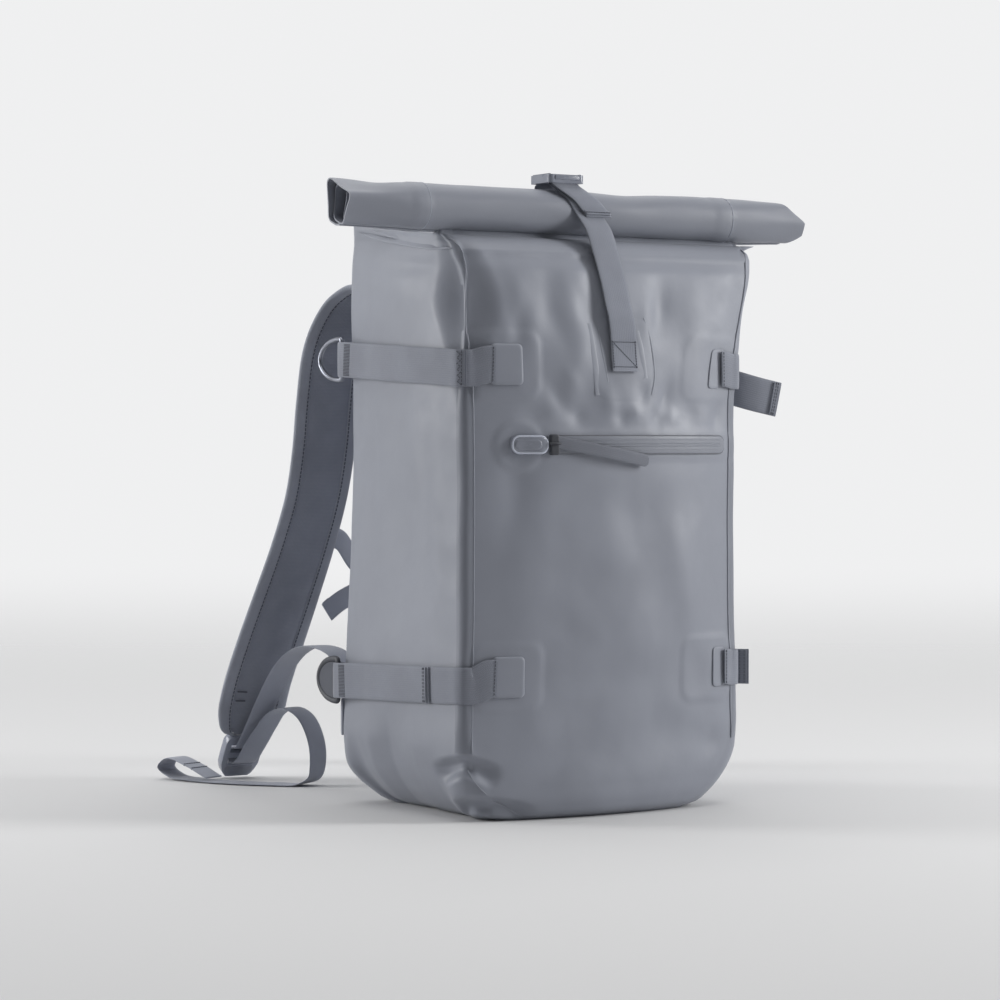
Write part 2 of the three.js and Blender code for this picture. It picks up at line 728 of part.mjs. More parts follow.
// The strap leans: its middle moves from the patch at the bottom towards the buckle.
function closureX(z) {
  const lean = THREE.MathUtils.smoothstep(z, CLOSURE.bottomZ, BUCKLE.z + 12);
  return mix(CLOSURE.bottomX, CLOSURE.topX, lean);
}
const closureRow = (place) => [-1, 1].map((edge) => (face) => {
  const point = place(face, edge);
  return point.setX(point.x + closureX(point.z) + edge * CLOSURE.width / 2);
});
const onRoll = (angle, out) => {
  const { y, z } = rollPoint(degrees(angle), 0, out);
  return vector(0, y, z);
};
const buckleBar = (side) => ({ y: BUCKLE.y + side * (BUCKLE.depth - BUCKLE.bar) / 2, z: BUCKLE.z });
const BAR_CLEAR = BUCKLE.bar * Math.SQRT1_2 + PLAY;

// Folds the strap round a buckle bar; side is -1 for the front bar and +1 for the back one.
function buckleFold(side, lastAngle) {
  const bar = buckleBar(side);
  const reach = [BAR_CLEAR + CLOSURE.thick, BAR_CLEAR];
  return steps(6, -Math.PI / 2, degrees(lastAngle)).map((angle) => (face) => vector(
    0,
    bar.y - side * reach[face] * Math.cos(angle),
    bar.z + reach[face] * Math.sin(angle),
  ));
}

function closureStrap() {
  const onPatch = SEAT + CLOSURE_PATCH.thick + PLAY;
  const patchTop = CLOSURE_PATCH.z + CLOSURE_PATCH.height / 2;
  const offFront = (z) => mix(onPatch, SEAT, THREE.MathUtils.smoothstep(z, patchTop, patchTop + 12));
  const heights = [CLOSURE.bottomZ, 404, 416, 428, 440, 452, 464, 476, 487];
  const rising = heights.map((z) => closureRow((face, edge) => {
    const x = closureX(z) + edge * CLOSURE.width / 2;
    const low = z < patchTop + 12 ? offFront(z) : -SINK;
    const point = onFront(x, z, face === 0 ? low : offFront(z) + CLOSURE.thick);
    return point.setX(0);
  }));
  const free = [[500, -95], [511, -91.5], [522, -87.5]].map(
    ([z, y]) => closureRow((face) => vector(0, face === 0 ? y : y - CLOSURE.thick, z)),
  );
  const over = [176, 160, 146, 134].map(
    (angle) => closureRow((face) => onRoll(angle, face === 0 ? ROLL_CLEAR : ROLL_CLEAR + CLOSURE.thick)),
  );
  const fold = buckleFold(-1, 160).map((place) => closureRow(place));
  const rest = ROLL_CLEAR + CLOSURE.thick + 0.4;
  const tailRows = table(['angle', 'off', 'layers'], [
    [138, 3.6, 1],
    [150, rest, 1],
    [164, rest, 1],
    [176, rest, 1],
    [180, rest + 0.6, 2],
    [192, rest + 3, 2],
  ]);
  const tail = tailRows.map(({ angle, off, layers }) => closureRow(
    (face) => onRoll(angle, face === 0 ? off + layers * CLOSURE.thick : off),
  ));
  return seated(sheet([...rising, ...free, ...over, ...fold, ...tail]));
}

function closureStrapBack() {
  const x = BUCKLE.x;
  const row = (place) => [-1, 1].map((edge) => (face) => {
    const point = place(face);
    return point.setX(x + edge * CLOSURE.width / 2);
  });
  const roof = [24, 6, -12].map(
    (y) => row((face) => onRoof(0, y, face === 0 ? -SINK : SEAT + CLOSURE.thick)),
  );
  const rising = [[-23, 519], [-30, 524]].map(
    ([y, z]) => row((face) => vector(0, face === 0 ? y : y + CLOSURE.thick, z)),
  );
  const over = [0, 16, 30, 44].map(
    (angle) => row((face) => onRoll(angle, face === 0 ? ROLL_CLEAR : ROLL_CLEAR + CLOSURE.thick)),
  );
  const fold = buckleFold(1, 90).map((place) => row(place));
  return seated(sheet([...roof, ...rising, ...over, ...fold]));
}

function closurePatch() {
  return plate(onFront, CLOSURE_PATCH, { x: 6, z: 6 });
}

function roundedShape(halfWidth, low, high, corner) {
  const shape = new THREE.Shape();
  shape.absarc(halfWidth - corner, low + corner, corner, -Math.PI / 2, 0);
  shape.absarc(halfWidth - corner, high - corner, corner, 0, Math.PI / 2);
  shape.absarc(-halfWidth + corner, high - corner, corner, Math.PI / 2, Math.PI);
  shape.absarc(-halfWidth + corner, low + corner, corner, Math.PI, 1.5 * Math.PI);
  return shape;
}

function slotPath(halfWidth, low, high) {
  const path = new THREE.Path();
  path.moveTo(-halfWidth, low);
  path.lineTo(-halfWidth, high);
  path.lineTo(halfWidth, high);
  path.lineTo(halfWidth, low);
  return path;
}

// A flat plate with slots, in its own plane, its thickness centred on that plane.
function slottedPlate(shape, slots, thick) {
  slots.forEach((slot) => shape.holes.push(slotPath(slot.halfWidth, slot.from, slot.to)));
  const geometry = new THREE.ExtrudeGeometry(shape, { depth: thick, bevelEnabled: false, curveSegments: 3 });
  geometry.deleteAttribute('normal');
  geometry.deleteAttribute('uv');
  return mergeVertices(geometry).translate(0, 0, -thick / 2);
}

function closureBuckle() {
  const half = BUCKLE.depth / 2;
  const inner = half - BUCKLE.bar;
  const halfWidth = BUCKLE.slotWidth / 2;
  const slots = [
    { halfWidth, from: -inner, to: -inner + BUCKLE.slot },
    { halfWidth, from: inner - BUCKLE.slot, to: inner },
  ];
  const shape = roundedShape(BUCKLE.width / 2, -half, half, BUCKLE.corner);
  return slottedPlate(shape, slots, BUCKLE.thick).translate(BUCKLE.x, BUCKLE.y, BUCKLE.z);
}

// Front zip

function zipBand() {
  const size = {
    x: (ZIP.fromX + ZIP.toX) / 2,
    z: ZIP.z,
    width: ZIP.toX - ZIP.fromX,
    height: ZIP.height,
    corner: 6,
    thick: ZIP.thick,
  };
  return plate(onFront, size, { x: 16, z: 2 });
}

function zipGarage() {
  const size = {
    x: (ZIP_GARAGE.fromX + ZIP_GARAGE.toX) / 2,
    z: ZIP.z,
    width: ZIP_GARAGE.toX - ZIP_GARAGE.fromX,
    height: ZIP_GARAGE.height,
    corner: 6,
    thick: ZIP_GARAGE.thick,
  };
  return plate(onFront, size, { x: 6, z: 2 });
}

// A strip of three columns lying off the front, along a straight run between two points.
function stripOffFront(from, to, width, low, high, count) {
  return sheet(steps(count, 0, 1).map((t) => {
    const x = mix(from.x, to.x, t);
    const z = mix(from.z, to.z, t);
    return steps(2, -width / 2, width / 2).map((dz) => (face) => onFront(x, z + dz, face === 0 ? low : high));
  }));
}

function zipSlider() {
  const low = SEAT + ZIP.thick + PLAY;
  const from = { x: ZIP_SLIDER.fromX, z: ZIP.z };
  const to = { x: ZIP_SLIDER.toX, z: ZIP.z };
  return seated(stripOffFront(from, to, ZIP_SLIDER.height, low, low + ZIP_SLIDER.thick, 2));
}

function zipPull() {
  const low = SEAT + ZIP.thick + ZIP_PULL.clear;
  const from = { x: ZIP_PULL.fromX, z: ZIP_PULL.fromZ };
  const to = { x: ZIP_PULL.toX, z: ZIP_PULL.toZ };
  return seated(stripOffFront(from, to, ZIP_PULL.width, low, low + ZIP_PULL.thick, 9));
}

// Harness

// Half sections of the padded strap: place across the width and half thickness there.
const PAD_PROFILE = table(['across', 'half'], [
  [-1, SHOULDER_STRAP.edge / 2],
  [-0.8, SHOULDER_STRAP.thick / 2],
  [0, SHOULDER_STRAP.thick / 2],
  [0.8, SHOULDER_STRAP.thick / 2],
  [1, SHOULDER_STRAP.edge / 2],
]);

function shoulderStrap(side) {
  const route = new THREE.CatmullRomCurve3(SHOULDER_ROUTE.map((p) => vector(p.x, p.y, p.z)));
  const count = SHOULDER_STRAP.stations;
  const rings = steps(count, 0, 1).map((t, k) => {
    const middle = route.getPointAt(t);
    const along = route.getTangentAt(t);
    const across = vector(1, 0, 0).addScaledVector(along, -along.x).normalize();
    const off = along.clone().cross(across);
    const fromEnd = Math.max(0, SHOULDER_STRAP.taper - (count - k)) / SHOULDER_STRAP.taper;
    const half = SHOULDER_STRAP.width / 2 * (1 - SHOULDER_STRAP.narrowing * fromEnd ** 2);
    const point = (row, face) => middle.clone()
      .addScaledVector(across, row.across * half)
      .addScaledVector(off, face * row.half);
    const upper = PAD_PROFILE.map((row) => point(row, 1));
    const lower = PAD_PROFILE.map((row) => point(row, -1));
    return [...upper, ...lower.reverse()];
  });
  return onSideOf(side, seated(loft(rings, { cap: sheetEnd })));
}

function ladderLock(side) {
  const slots = LOCK_SLOTS.map(({ from, to }) => ({ halfWidth: LOCK_SLOT_WIDTH / 2, from, to }));
  const shape = roundedShape(LOCK.width / 2, LOCK.top, LOCK.bottom, LOCK.corner);
  const geometry = slottedPlate(shape, slots, LOCK.thick);
  geometry.rotateX(degrees(LOCK.lean - 90));
  geometry.translate(LOCK.x, LOCK.y, LOCK.z);
  return onSideOf(side, geometry);
}

// Flat webbing along a smooth route; acrossAt gives the width's direction at a share of the route.
function ribbon(points, { width, thick, samples }, acrossAt) {
  const route = new THREE.CatmullRomCurve3(points.map((p) => vector(p.x, p.y, p.z)), false, 'centripetal');
  const rings = steps(samples, 0, 1).map((t) => {
    const middle = route.getPoint(t);
    const along = route.getTangent(t);
    const wanted = acrossAt(t);
    const across = wanted.addScaledVector(along, -along.dot(wanted)).normalize();
    const off = along.clone().cross(across);
    const corners = [[-1, -1], [1, -1], [1, 1], [-1, 1]];
    return corners.map(([a, b]) => middle.clone()
      .addScaledVector(across, a * width / 2)
      .addScaledVector(off, b * thick / 2));
  });
  return loft(rings);
}

function adjuster(side) {
  const last = ADJUSTER_ROUTE.length - 1;
  const acrossAt = (t) => {
    const k = Math.min(Math.floor(t * last), last - 1);
    const turn = degrees(mix(ADJUSTER_ROUTE[k].turn, ADJUSTER_ROUTE[k + 1].turn, t * last - k));
    return vector(Math.cos(turn), Math.sin(turn), 0);
  };
  return onSideOf(side, ribbon(ADJUSTER_ROUTE, ADJUSTER, acrossAt));
}

function strapTab(side) {
  const heights = [TAB.fromZ, TAB.toZ];
  const held = heights.map((z) => (face) => onBack(-TAB.innerX, z, face === 0 ? -SINK : SEAT + TAB.thick));
  const y = onBack(TAB.innerX, TAB.fromZ, SEAT).y;
  const free = [TAB.midX, TAB.outerX].map(
    (x) => heights.map((z) => (face) => vector(-x, face === 0 ? y : y + TAB.thick, z)),
  );
  return onSideOf(side, seated(sheet([held, ...free])));
}

const upright = () => vector(0, 0, 1);

function sternumStrap() {
  return ribbon(STERNUM_ROUTE, STERNUM, upright);
}

function sternumTail() {
  return ribbon(STERNUM_TAIL_ROUTE, { ...STERNUM, samples: 8 }, upright);
}

function sternumBuckle() {
  const strapY = STERNUM_ROUTE[4].y - STERNUM.thick / 2;
  const halfHeight = STERNUM_BUCKLE.height / 2;
  const shape = roundedShape(STERNUM_BUCKLE.width / 2, -halfHeight, halfHeight, STERNUM_BUCKLE.corner);
  const geometry = slottedPlate(shape, [], STERNUM_BUCKLE.thick);
  geometry.rotateX(Math.PI / 2);
  return geometry.translate(0, strapY - STERNUM_BUCKLE.thick / 2 - SEAT, STERNUM_BUCKLE.z);
}

// Assembly

const backpack = new THREE.Group();
backpack.name = 'roll_top_backpack';

function add(name, geometry, finish) {
  const mesh = new THREE.Mesh(geometry, new THREE.MeshStandardMaterial(finish));
  mesh.name = name;
  backpack.add(mesh);
}

add('body_shell', bodyShell(), COATED);
add('roll_top', rollTop(), COATED);
add('back_panel', backPanel(), PADDING);
for (const strap of COMPRESSION) {
  add(`anchor_pad_${strap.name}`, anchorPad(strap), COATED);
  add(`compression_strap_${strap.name}`, compressionStrap(strap), WOVEN);
  add(`ring_${strap.name}`, dRing(strap), strap.name.startsWith('upper') ? METAL : MOULDED);
}
add('closure_patch', closurePatch(), COATED);
add('closure_strap', closureStrap(), WOVEN);
add('closure_buckle', closureBuckle(), MOULDED);
add('closure_strap_back', closureStrapBack(), WOVEN);
add('zip_band', zipBand(), COATED);
add('zip_garage', zipGarage(), MOULDED);
add('zip_slider', zipSlider(), METAL);
add('zip_pull', zipPull(), WOVEN);
for (const [name, side] of [['left', LEFT], ['right', RIGHT]]) {
  add(`seam_tape_${name}`, seamTape(side), COATED);
  add(`shoulder_strap_${name}`, shoulderStrap(side), PADDING);
  add(`ladder_lock_${name}`, ladderLock(side), MOULDED);
  add(`adjuster_${name}`, adjuster(side), WOVEN);
  add(`strap_tab_${name}`, strapTab(side), COATED);
}
add('sternum_strap', sternumStrap(), WOVEN);
add('sternum_buckle', sternumBuckle(), MOULDED);
add('sternum_tail', sternumTail(), WOVEN);

export default backpack;
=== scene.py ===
"""Waterproof roll-top backpack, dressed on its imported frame.

Tables and shape functions are in millimetres in the part's own frame; meshes are in metres.
The front faces -Y, the wearer's side is +Y, and the flat base stands on Z = 0.
"""
import functools
import math
from collections import namedtuple

import bmesh
import bpy
from mathutils import Matrix, Vector, noise


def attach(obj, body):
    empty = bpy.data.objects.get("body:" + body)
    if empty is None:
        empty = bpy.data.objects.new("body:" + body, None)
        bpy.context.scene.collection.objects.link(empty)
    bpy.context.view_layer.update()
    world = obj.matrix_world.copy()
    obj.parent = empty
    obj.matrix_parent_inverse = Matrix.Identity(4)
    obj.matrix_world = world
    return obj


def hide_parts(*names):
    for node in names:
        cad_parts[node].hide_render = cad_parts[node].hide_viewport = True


bl_info = {
    "name": "Roll-top backpack",
    "version": (1, 0, 0),
    "blender": (4, 5, 0),
    "location": "View3D > Sidebar > Backpack",
    "description": "Builds a waterproof roll-top backpack piece by piece",
    "category": "Object",
}

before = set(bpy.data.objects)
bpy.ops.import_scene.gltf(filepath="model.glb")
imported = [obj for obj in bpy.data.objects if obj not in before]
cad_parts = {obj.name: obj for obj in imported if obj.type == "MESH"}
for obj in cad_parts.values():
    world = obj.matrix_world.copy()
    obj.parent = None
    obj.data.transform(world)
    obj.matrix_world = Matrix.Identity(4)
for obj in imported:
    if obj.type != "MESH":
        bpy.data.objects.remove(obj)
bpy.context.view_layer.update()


MM = 0.001
LEFT, RIGHT = -1, 1
SEAT = 0.35  # clearance between a piece and what carries it
PLAY = 0.3  # clearance between layers of webbing


def table(columns, rows):
    Row = namedtuple("Row", columns)
    return [Row(*row) for row in rows]


# Bag sections from the base to the shoulder.
SECTIONS = table("z half front back front_crown back_crown side_crown front_corner back_corner", [
    (0, 127, -97, 92, 8, 0, 1, 36, 32),
    (4, 135, -102, 97, 11, 1, 2, 35, 30),
    (12, 141, -104.5, 101, 13, 2, 3, 32, 26),
    (30, 147, -104, 105, 15, 3, 4, 24, 20),
    (62, 148.5, -101, 106, 16, 4, 5, 14, 16),
    (92, 147, -99.5, 105.5, 19, 5, 6, 9, 15),
    (200, 144.5, -98, 105, 24, 6, 7, 8, 15),
    (320, 144.5, -98, 105, 24, 6, 7, 8, 15),
    (400, 145, -97, 105, 19, 6, 6, 8, 15),
    (450, 147, -95.5, 105, 13, 5, 5, 12, 16),
    (480, 149.5, -93, 104, 7, 4, 4, 13, 18),
    (496, 152, -88, 101, 3, 2, 2, 13, 20),
])
Section = namedtuple("Section", SECTIONS[0]._fields[1:])
SHOULDER_Z = 496
SHOULDER = Section(*SECTIONS[-1][1:])
SHOULDER_TILT_FROM = 430
SHOULDER_RISE = 34  # how much higher the shoulder's back edge stands than its front edge
RISE_POWER = 1.4
# How much further the right side stands out at the base, the middle and the shoulder, and where it changes.
RIGHT_SWELL = {"base": -13, "middle": 3, "shoulder": 24, "base_to": 60, "shoulder_from": 360, "full_x": 120}
# The left side bulges low at the back, and is drawn in at the shoulder.
LEFT_BULGE = {"out": 6.5, "full_z": 40, "fade_from": 120, "fade_to": 330, "from_y": -20, "full_y": 95}
LEFT_TUCK = {"in": 4, "from_z": 440}
LEFT_EDGE = (60, 140)  # the places across over which the left side's changes come in
NECK = Section(147, -62, -52, 0, 0, 0, 3.5, 3.5)
NECK_RIGHT = 29  # how much further the neck reaches on the right
NECK_Z = 511
NECK_LIP = 4  # the neck's edge goes up into the roll
ROOF_CROWN = 5
ROOF_FOLD = 1.6  # how far the roof's side folds stand up
LIP_NARROWED = (0.985, 0.6)  # how far the neck's edge is drawn in, along and across its slit
INNER_WALL = 9  # the inside face lies clear of the deepest fold
INNER_ROWS = (470, 400, 300, 200, 100, 40, 12)
# The neck's cloth folded over along the left shoulder: how far up and out it lies, and its two ends.
SHOULDER_FLAPS = table("lift out back front", [(1.2, 0.1, 76, -80), (6.2, -3.4, 50, -76)])
SHOULDER_FLAP = {"width": 5, "thick": 1.3, "rise_share": 0.8, "back_out": 0.9}
# The small ear of cloth at the right end of the neck.
RIGHT_EAR = {"width": 9, "thick": 2.4}
RIGHT_EAR_ROUTE = [(164, -60, 504), (174, -61, 507), (184, -62, 509.5), (193, -62, 511)]

# Soft hollows: centre, half sizes, turn in degrees and depth; a negative depth stands proud.
DENT = "across z wide tall turn depth"
FRONT_DENTS = table(DENT, [
    (-62, 452, 14, 32, -12, 2.4),
    (-88, 444, 11, 28, 8, -1.6),
    (62, 446, 16, 34, 14, 2.2),
    (-30, 358, 20, 22, 30, 3),
    (60, 366, 18, 20, -35, 3),
    (-98, 290, 16, 40, 0, 2.5),
    (40, 268, 44, 22, 10, 2.5),
    (-40, 210, 40, 26, -15, 2.5),
    (84, 190, 18, 60, 8, -2),
    (10, 120, 60, 20, 4, 2.5),
])
FRONT_FOLDS = table(DENT, [
    (-106, 436, 8, 22, 14, -1.0),
    (-91, 428, 9, 24, -12, 1.8),
    (-72, 434, 12, 26, -10, -1.2),
    (-52, 428, 10, 20, 18, 1.1),
    (-24, 446, 9, 20, 14, 2.2),
    (-36, 402, 10, 22, -16, -1.3),
    (50, 447, 9, 20, -4, 2.8),
    (36, 436, 7, 18, -8, -1.1),
    (82, 432, 22, 40, 8, -1.2),
    (-56, 368, 8, 17, 34, 2.2),
    (-44, 384, 7, 14, 30, -1.1),
    (-38, 352, 8, 8, 0, 1.7),
    (-80, 354, 15, 8, 12, 2.0),
    (6, 351, 7, 7, 0, 1.8),
    (-6, 366, 7, 13, 20, -1.2),
    (22, 356, 6, 6, 0, -1.2),
    (30, 372, 7, 11, -18, 2.0),
    (45, 350, 7, 8, 0, 2.0),
    (56, 371, 6, 14, -12, 1.5),
    (63, 352, 6, 7, 0, -1.3),
    (84, 354, 11, 11, 20, 1.5),
    (118, 352, 8, 12, -20, 2),
    (-40, 282, 34, 12, 12, 1.3),
    (20, 250, 20, 42, 20, 1.5),
    (66, 232, 16, 60, 6, -1.3),
    (-86, 226, 20, 50, -4, -1.2),
    (-52, 168, 26, 14, -24, 1.5),
    (28, 160, 22, 32, 24, -1.3),
    (92, 124, 16, 34, 12, 1.6),
    (-30, 92, 30, 12, 10, 1.5),
    (56, 76, 26, 16, -10, 1.6),
    (-78, 84, 16, 22, 14, -1.3),
    (110, 60, 16, 14, -14, 2),
    (-76, 30, 30, 9, 26, 1.4),
    (-14, 452, 9, 40, 2, 3.6),
])
SIDE_DENTS = table(DENT, [
    (-84, 452, 12, 26, 0, 5),
    (10, 462, 46, 14, 6, -2.5),
    (-10, 250, 40, 60, 0, 2),
    (20, 70, 26, 18, 20, 3),
])
SIDE_FOLDS = table(DENT, [
    (60, 486, 50, 7, -10, 2),
    (-20, 478, 40, 6, -4, 1.8),
    (30, 440, 40, 16, 10, -1),
    (-30, 340, 20, 60, 4, -1),
    (50, 300, 14, 90, -2, 1.2),
    (-60, 230, 12, 80, 2, -1),
    (30, 180, 30, 40, 12, 1),
])
# The front corners are pinched in: a diamond with straight flanks, each side of the seam.
PINCH = table("z reach above below depth blunt", [(450, 27, 82, 84, 9, 9)])[0]
# Welded patches that stand up a little from the cloth: centre, half sizes, corner and rise.
FRONT_WELDS = table("across z wide tall corner rise", [
    (-105, 396.5, 31, 29.5, 12, 1.1),
    (-105, 126.5, 31, 29.5, 12, 1.1),
    (105, 396, 31, 29.5, 12, 0.5),
    (105, 126.5, 31, 29.5, 12, 1.1),
    (-95, 326.5, 22, 22, 21.9, 1.3),
    (30, 327.5, 108, 13, 12, 0.7),
])
WELD_SOFT = 2.6
# Slight unevenness of the coated cloth: height, and the size of its waves along and up.
RIPPLES = table("height along up", [(0.7, 46, 58), (0.25, 17, 21)])
# Below this zigzag line (place along the side and height) the side turns under.
TURN_UNDER = [(-95, 50), (-60, 56), (-23, 61), (21, 74), (51, 62), (84, 68), (110, 60)]
TURN_SLOPE = 0.34
TURN_SOFT = 8
# Places along the side where the turn starts, is full, starts to fade and has gone.
TURN_ENDS = (-88, -50, 70, 96)
# Tucks under the lower end of the left seam: height, sag towards the ends, reach along the side and
# the front, depth, share of it at the middle, and how far down it opens out again.
TUCKS = table("z sag side front depth middle tall", [
    (60, 11, 50, 36, 9, 0.95, 27),
    (24, 9, 34, 58, 8.5, 1.0, 22),
])
TUCK_FRONT_SHARE = 0.65  # how deep a tuck is on the front, as a share of its depth on the side
OUTLINE_STEPS = {"front": 96, "side": 58, "back": 34, "corner": 10}
WALL_ROWS = 152
ROOF_ROWS = 16
BASE_ROWS = (0, 1.2, 2.8, 5, 7.5, 10.5, 14)
PUCKER_ROWS = table("to_z count", [(38, 14), (66, 24)])  # closer rows where the lower corner is tucked

TAPE = {"thick": 0.8, "half": 8.4, "from_z": 61, "to_z": 402, "rise": 22}
# The weld line goes on below the left tape: round the corner (angle and height), then over the front.
SEAM_CORNER = [(0.62, 46), (0.5, 40), (0.36, 33), (0.2, 26), (0.05, 19)]
SEAM_FRONT = [(-103, 13), (-96, 8), (-88, 4)]

ROLL = {"y": -57, "z": 534, "depth": 22, "height": 22.5, "sheet": 1.5, "pitch": 3.2, "turns": 3.1}
ROLL_BOXINESS = 2.08
ROLL_HALF_LENGTH = 243
ROLL_RIGHT_CUT = (25, 15)  # how much shorter the right end is at its top and at its bottom
# The roll is flattened towards its ends: how much, from where to where, and the flat form's corners.
ROLL_LEFT_END = {
    "share": 0.86, "from_x": 172, "to_x": 243,
    "corners": [(21, -14), (22, 27), (-22, 8), (-6, -22.5)],
}
ROLL_RIGHT_END = {
    "share": 0.8, "from_x": 176, "to_x": 236,
    "corners": [(20, -17), (17, 21), (-16, 19), (-22, 0), (-12, -22)],
}
ROLL_FLAT = 0.04  # how much of the flat form the roll's middle has
ROLL_CHANGE_X = 40  # where the left end's form gives way to the right end's
ROLL_BLUNT = (-0.16, -0.08, 0, 0.08, 0.16)  # turns over which the roll's corners are rounded
ROLL_BANDS = [(-178.5, -163.5), (144, 159.5)]
ROLL_DIPS = table("x wide fall", [(-10, 60, 0.4), (46, 28, 2.6), (150, 50, 0.3), (120, 26, -0.4)])

WEBBING = {"width": 32, "thick": 1.6, "hem": 10, "pick": 0.9}
PAD = {"height": 36, "corner": 4, "thick": 2.2}
PAD_FORMS = {LEFT: (PAD["thick"], 2.0), RIGHT: (1.0, 0.9)}  # thickness and edge round of each side's pads
STRAP_END_Y = 114  # the straps' slope is given from the front corner to here
CORNER_Y = -98
COMPRESSION = table("name side pad_z corner_z ring_y ring_z wire reach tail inner outer", [
    ("upper_left", LEFT, 397, 393.5, 105, 406, 2.2, 41, "corner", 91, 120),
    ("lower_left", LEFT, 126, 119.5, 98, 112, 2.8, 36, "side", 91, 120),
    ("upper_right", RIGHT, 396, 394, 105, 406, 2.2, 41, "loose", 105, 121),
    ("lower_right", RIGHT, 126.5, 125, 98, 112, 2.8, 36, "loose_short", 111, 127),
])
LOOSE_TAILS = {
    "loose": [(154, -62, 384), (164, -76, 379), (180, -84, 374), (203, -88, 369)],
    "loose_short": [(153, -66, 124), (158, -80, 124), (168, -90, 124)],
}
# How a strap comes down from its ring: how far before it, and the share of the lift that is left.
LANDING = table("back lift", [(9, 1), (20, 0.7), (32, 0.3), (46, 0)])
TACK = {"back": 15, "half": 4.5, "bars": 21, "radius": 0.4}
RING = {"foot": 5, "bar_inset": 2, "bar_clear": 0.4, "web_half": 1}

CLOSURE = {"width": 28, "thick": 1.6, "hem": 7.5}
# The closure strap's course: height and place across.
CLOSURE_RUN = [(392, 10), (425, 9.5), (464, 6.5), (505, 3.5), (528, 1), (545, -8), (556, -18), (562, -21)]
# Its way over the bag: heights up the front, points (y and z) up to the roll, and angles round the roll.
CLOSURE_FRONT_Z = (392, 400, 412, 426, 440, 454, 466)
CLOSURE_RISE = [(-103.4, 482), (-96.4, 500), (-89, 518)]
CLOSURE_OVER = {"z": 545, "angles": (176, 160, 146, 128)}
# Its sewn tail: points (y and z) under the buckle, then angles round the roll and how far off it stands.
CLOSURE_TAIL_START = [(-68.6, 558), (-71.6, 555.3)]
CLOSURE_TAIL = [(142, 1.2), (153, 0.5), (165, 0.4), (177, 0.8), (189, 3.0)]
CLOSURE_TAIL_SHIFT = 7
# The strap behind: places on the roof, points (y and z) up to the roll, and angles round the roll.
CLOSURE_BACK_Y = (24, 6, -12)
CLOSURE_BACK_RISE = [(-23, 519.5), (-30, 525)]
CLOSURE_BACK_OVER = (4, 18, 32, 46)
CLOSURE_PATCH = {"x": 10, "z": 402.5, "width": 66, "height": 79, "corner": 16, "thick": 1.2}
BUCKLE = {
    "x": -21, "y": -57, "z": 563.5, "width": 37, "depth": 33, "thick": 7.4, "bar": 3.4, "slot_width": 29.5,
}
BUCKLE_PIN = {"y": -62.7, "z": 562, "radius": 1.7}  # the round bar the front strap is sewn round
# Ridge lines pressed into the closure patch: half width and flatness, and points across and up the front.
RIDGE_FORMS = [(3.2, 0.08), (0.9, 0.35), (3.4, 0.1), (0.9, 0.3)]
PATCH_RIDGES = [
    [(-22, 434), (-21, 416), (-19, 394), (-17, 371)],
    [(-12, 430), (-11, 414), (-9, 398), (-7, 383)],
    [(25, 428), (28, 414), (30, 400), (32, 386)],
    [(33, 440), (38, 424), (42, 402), (43, 386), (40, 372)],
]

ZIP = {"from_x": -69.5, "to_x": 126, "z": 327.5, "height": 16, "thick": 1.2}
ZIP_LINES = [(-0.28, 0.3), (-0.07, 0.5), (0.07, 0.5), (0.28, 0.3)]  # place across the band and radius
ZIP_GARAGE = {"from_x": -104, "to_x": -70, "height": 17}
ZIP_SLIDER = {"from_x": -69, "to_x": -61, "height": 18, "thick": 3.6}
ZIP_PULL = {"from_x": -63, "to_x": 30, "from_z": 329.5, "to_z": 313, "width": 11, "thick": 1.8}

SHOULDER_STRAP = {"width": 67, "thick": 12}
SHOULDER_ROUTE = [
    (-97, 106, 472), (-98, 116, 472), (-101, 130, 469), (-109, 146, 458), (-117, 159, 440),
    (-120, 173, 415), (-117, 191, 369), (-112, 208, 325), (-110, 226, 279), (-114, 246, 230),
    (-121, 266, 182), (-129, 284, 136), (-136, 300, 92), (-138, 312.3, 57.1), (-138, 316, 50.7),
    (-138, 319.7, 44.3),
]
LOCK = {"x": -138, "y": 332, "z": 23, "thick": 8.5, "lean": 30}
LOCK_LINES_X = (-20.5, -14.5, 14.5, 20.5)
LOCK_LINES_Y = (-24, -15, -6, 0, 8, 22)
LOCK_LIP = {"half": 18, "from_y": 9.5, "to_y": 21, "thick": 5, "corner": 5, "edge": 2, "out": 2.6}
LOCK_TAPER = 0.26  # how much narrower its lower end is
LOCK_TAPER_Y = (5, 24)

ADJUSTER = {"width": 25, "thick": 1.4, "sewn": (31, 22)}  # sewn rows, from the free end
ADJUSTER_ROUTE = table("x y z turn", [
    (-130, 109.6, 70, 0), (-130, 110, 92, 0), (-131, 119, 116, 0), (-133, 140, 132, 0),
    (-134, 170, 138, 0), (-133, 202, 136, 0), (-132, 232, 126, 0), (-132, 258, 108, 0),
    (-134, 280, 82, 0), (-136.5, 298, 56, 0), (-138, 311, 39, 0), (-138, 317.5, 32.5, 0),
    (-138, 325, 30.6, 0), (-138, 335, 32, 0), (-138, 338.6, 26.5, 0), (-138, 336, 21, 0),
    (-138, 326.6, 16, 0), (-138, 317, 20, 0), (-137, 309, 28, 0), (-135, 300, 39, 0), (-131, 291, 52, 6),
    (-125, 280, 67, 12), (-118, 265, 73, 16), (-110, 250, 66, 18), (-105, 239, 47, 20),
    (-105, 233, 26, 22), (-109, 233, 9, 26), (-120, 241, 2, 30), (-139, 258, 1.4, 33),
    (-159, 281, 1.4, 30), (-175, 307, 1.4, 26), (-186, 334, 1.6, 22), (-194, 358, 3.5, 20),
    (-199, 371, 12, 20), (-195, 361, 21, 20), (-187, 337, 16, 22), (-177, 312, 5.2, 24),
])
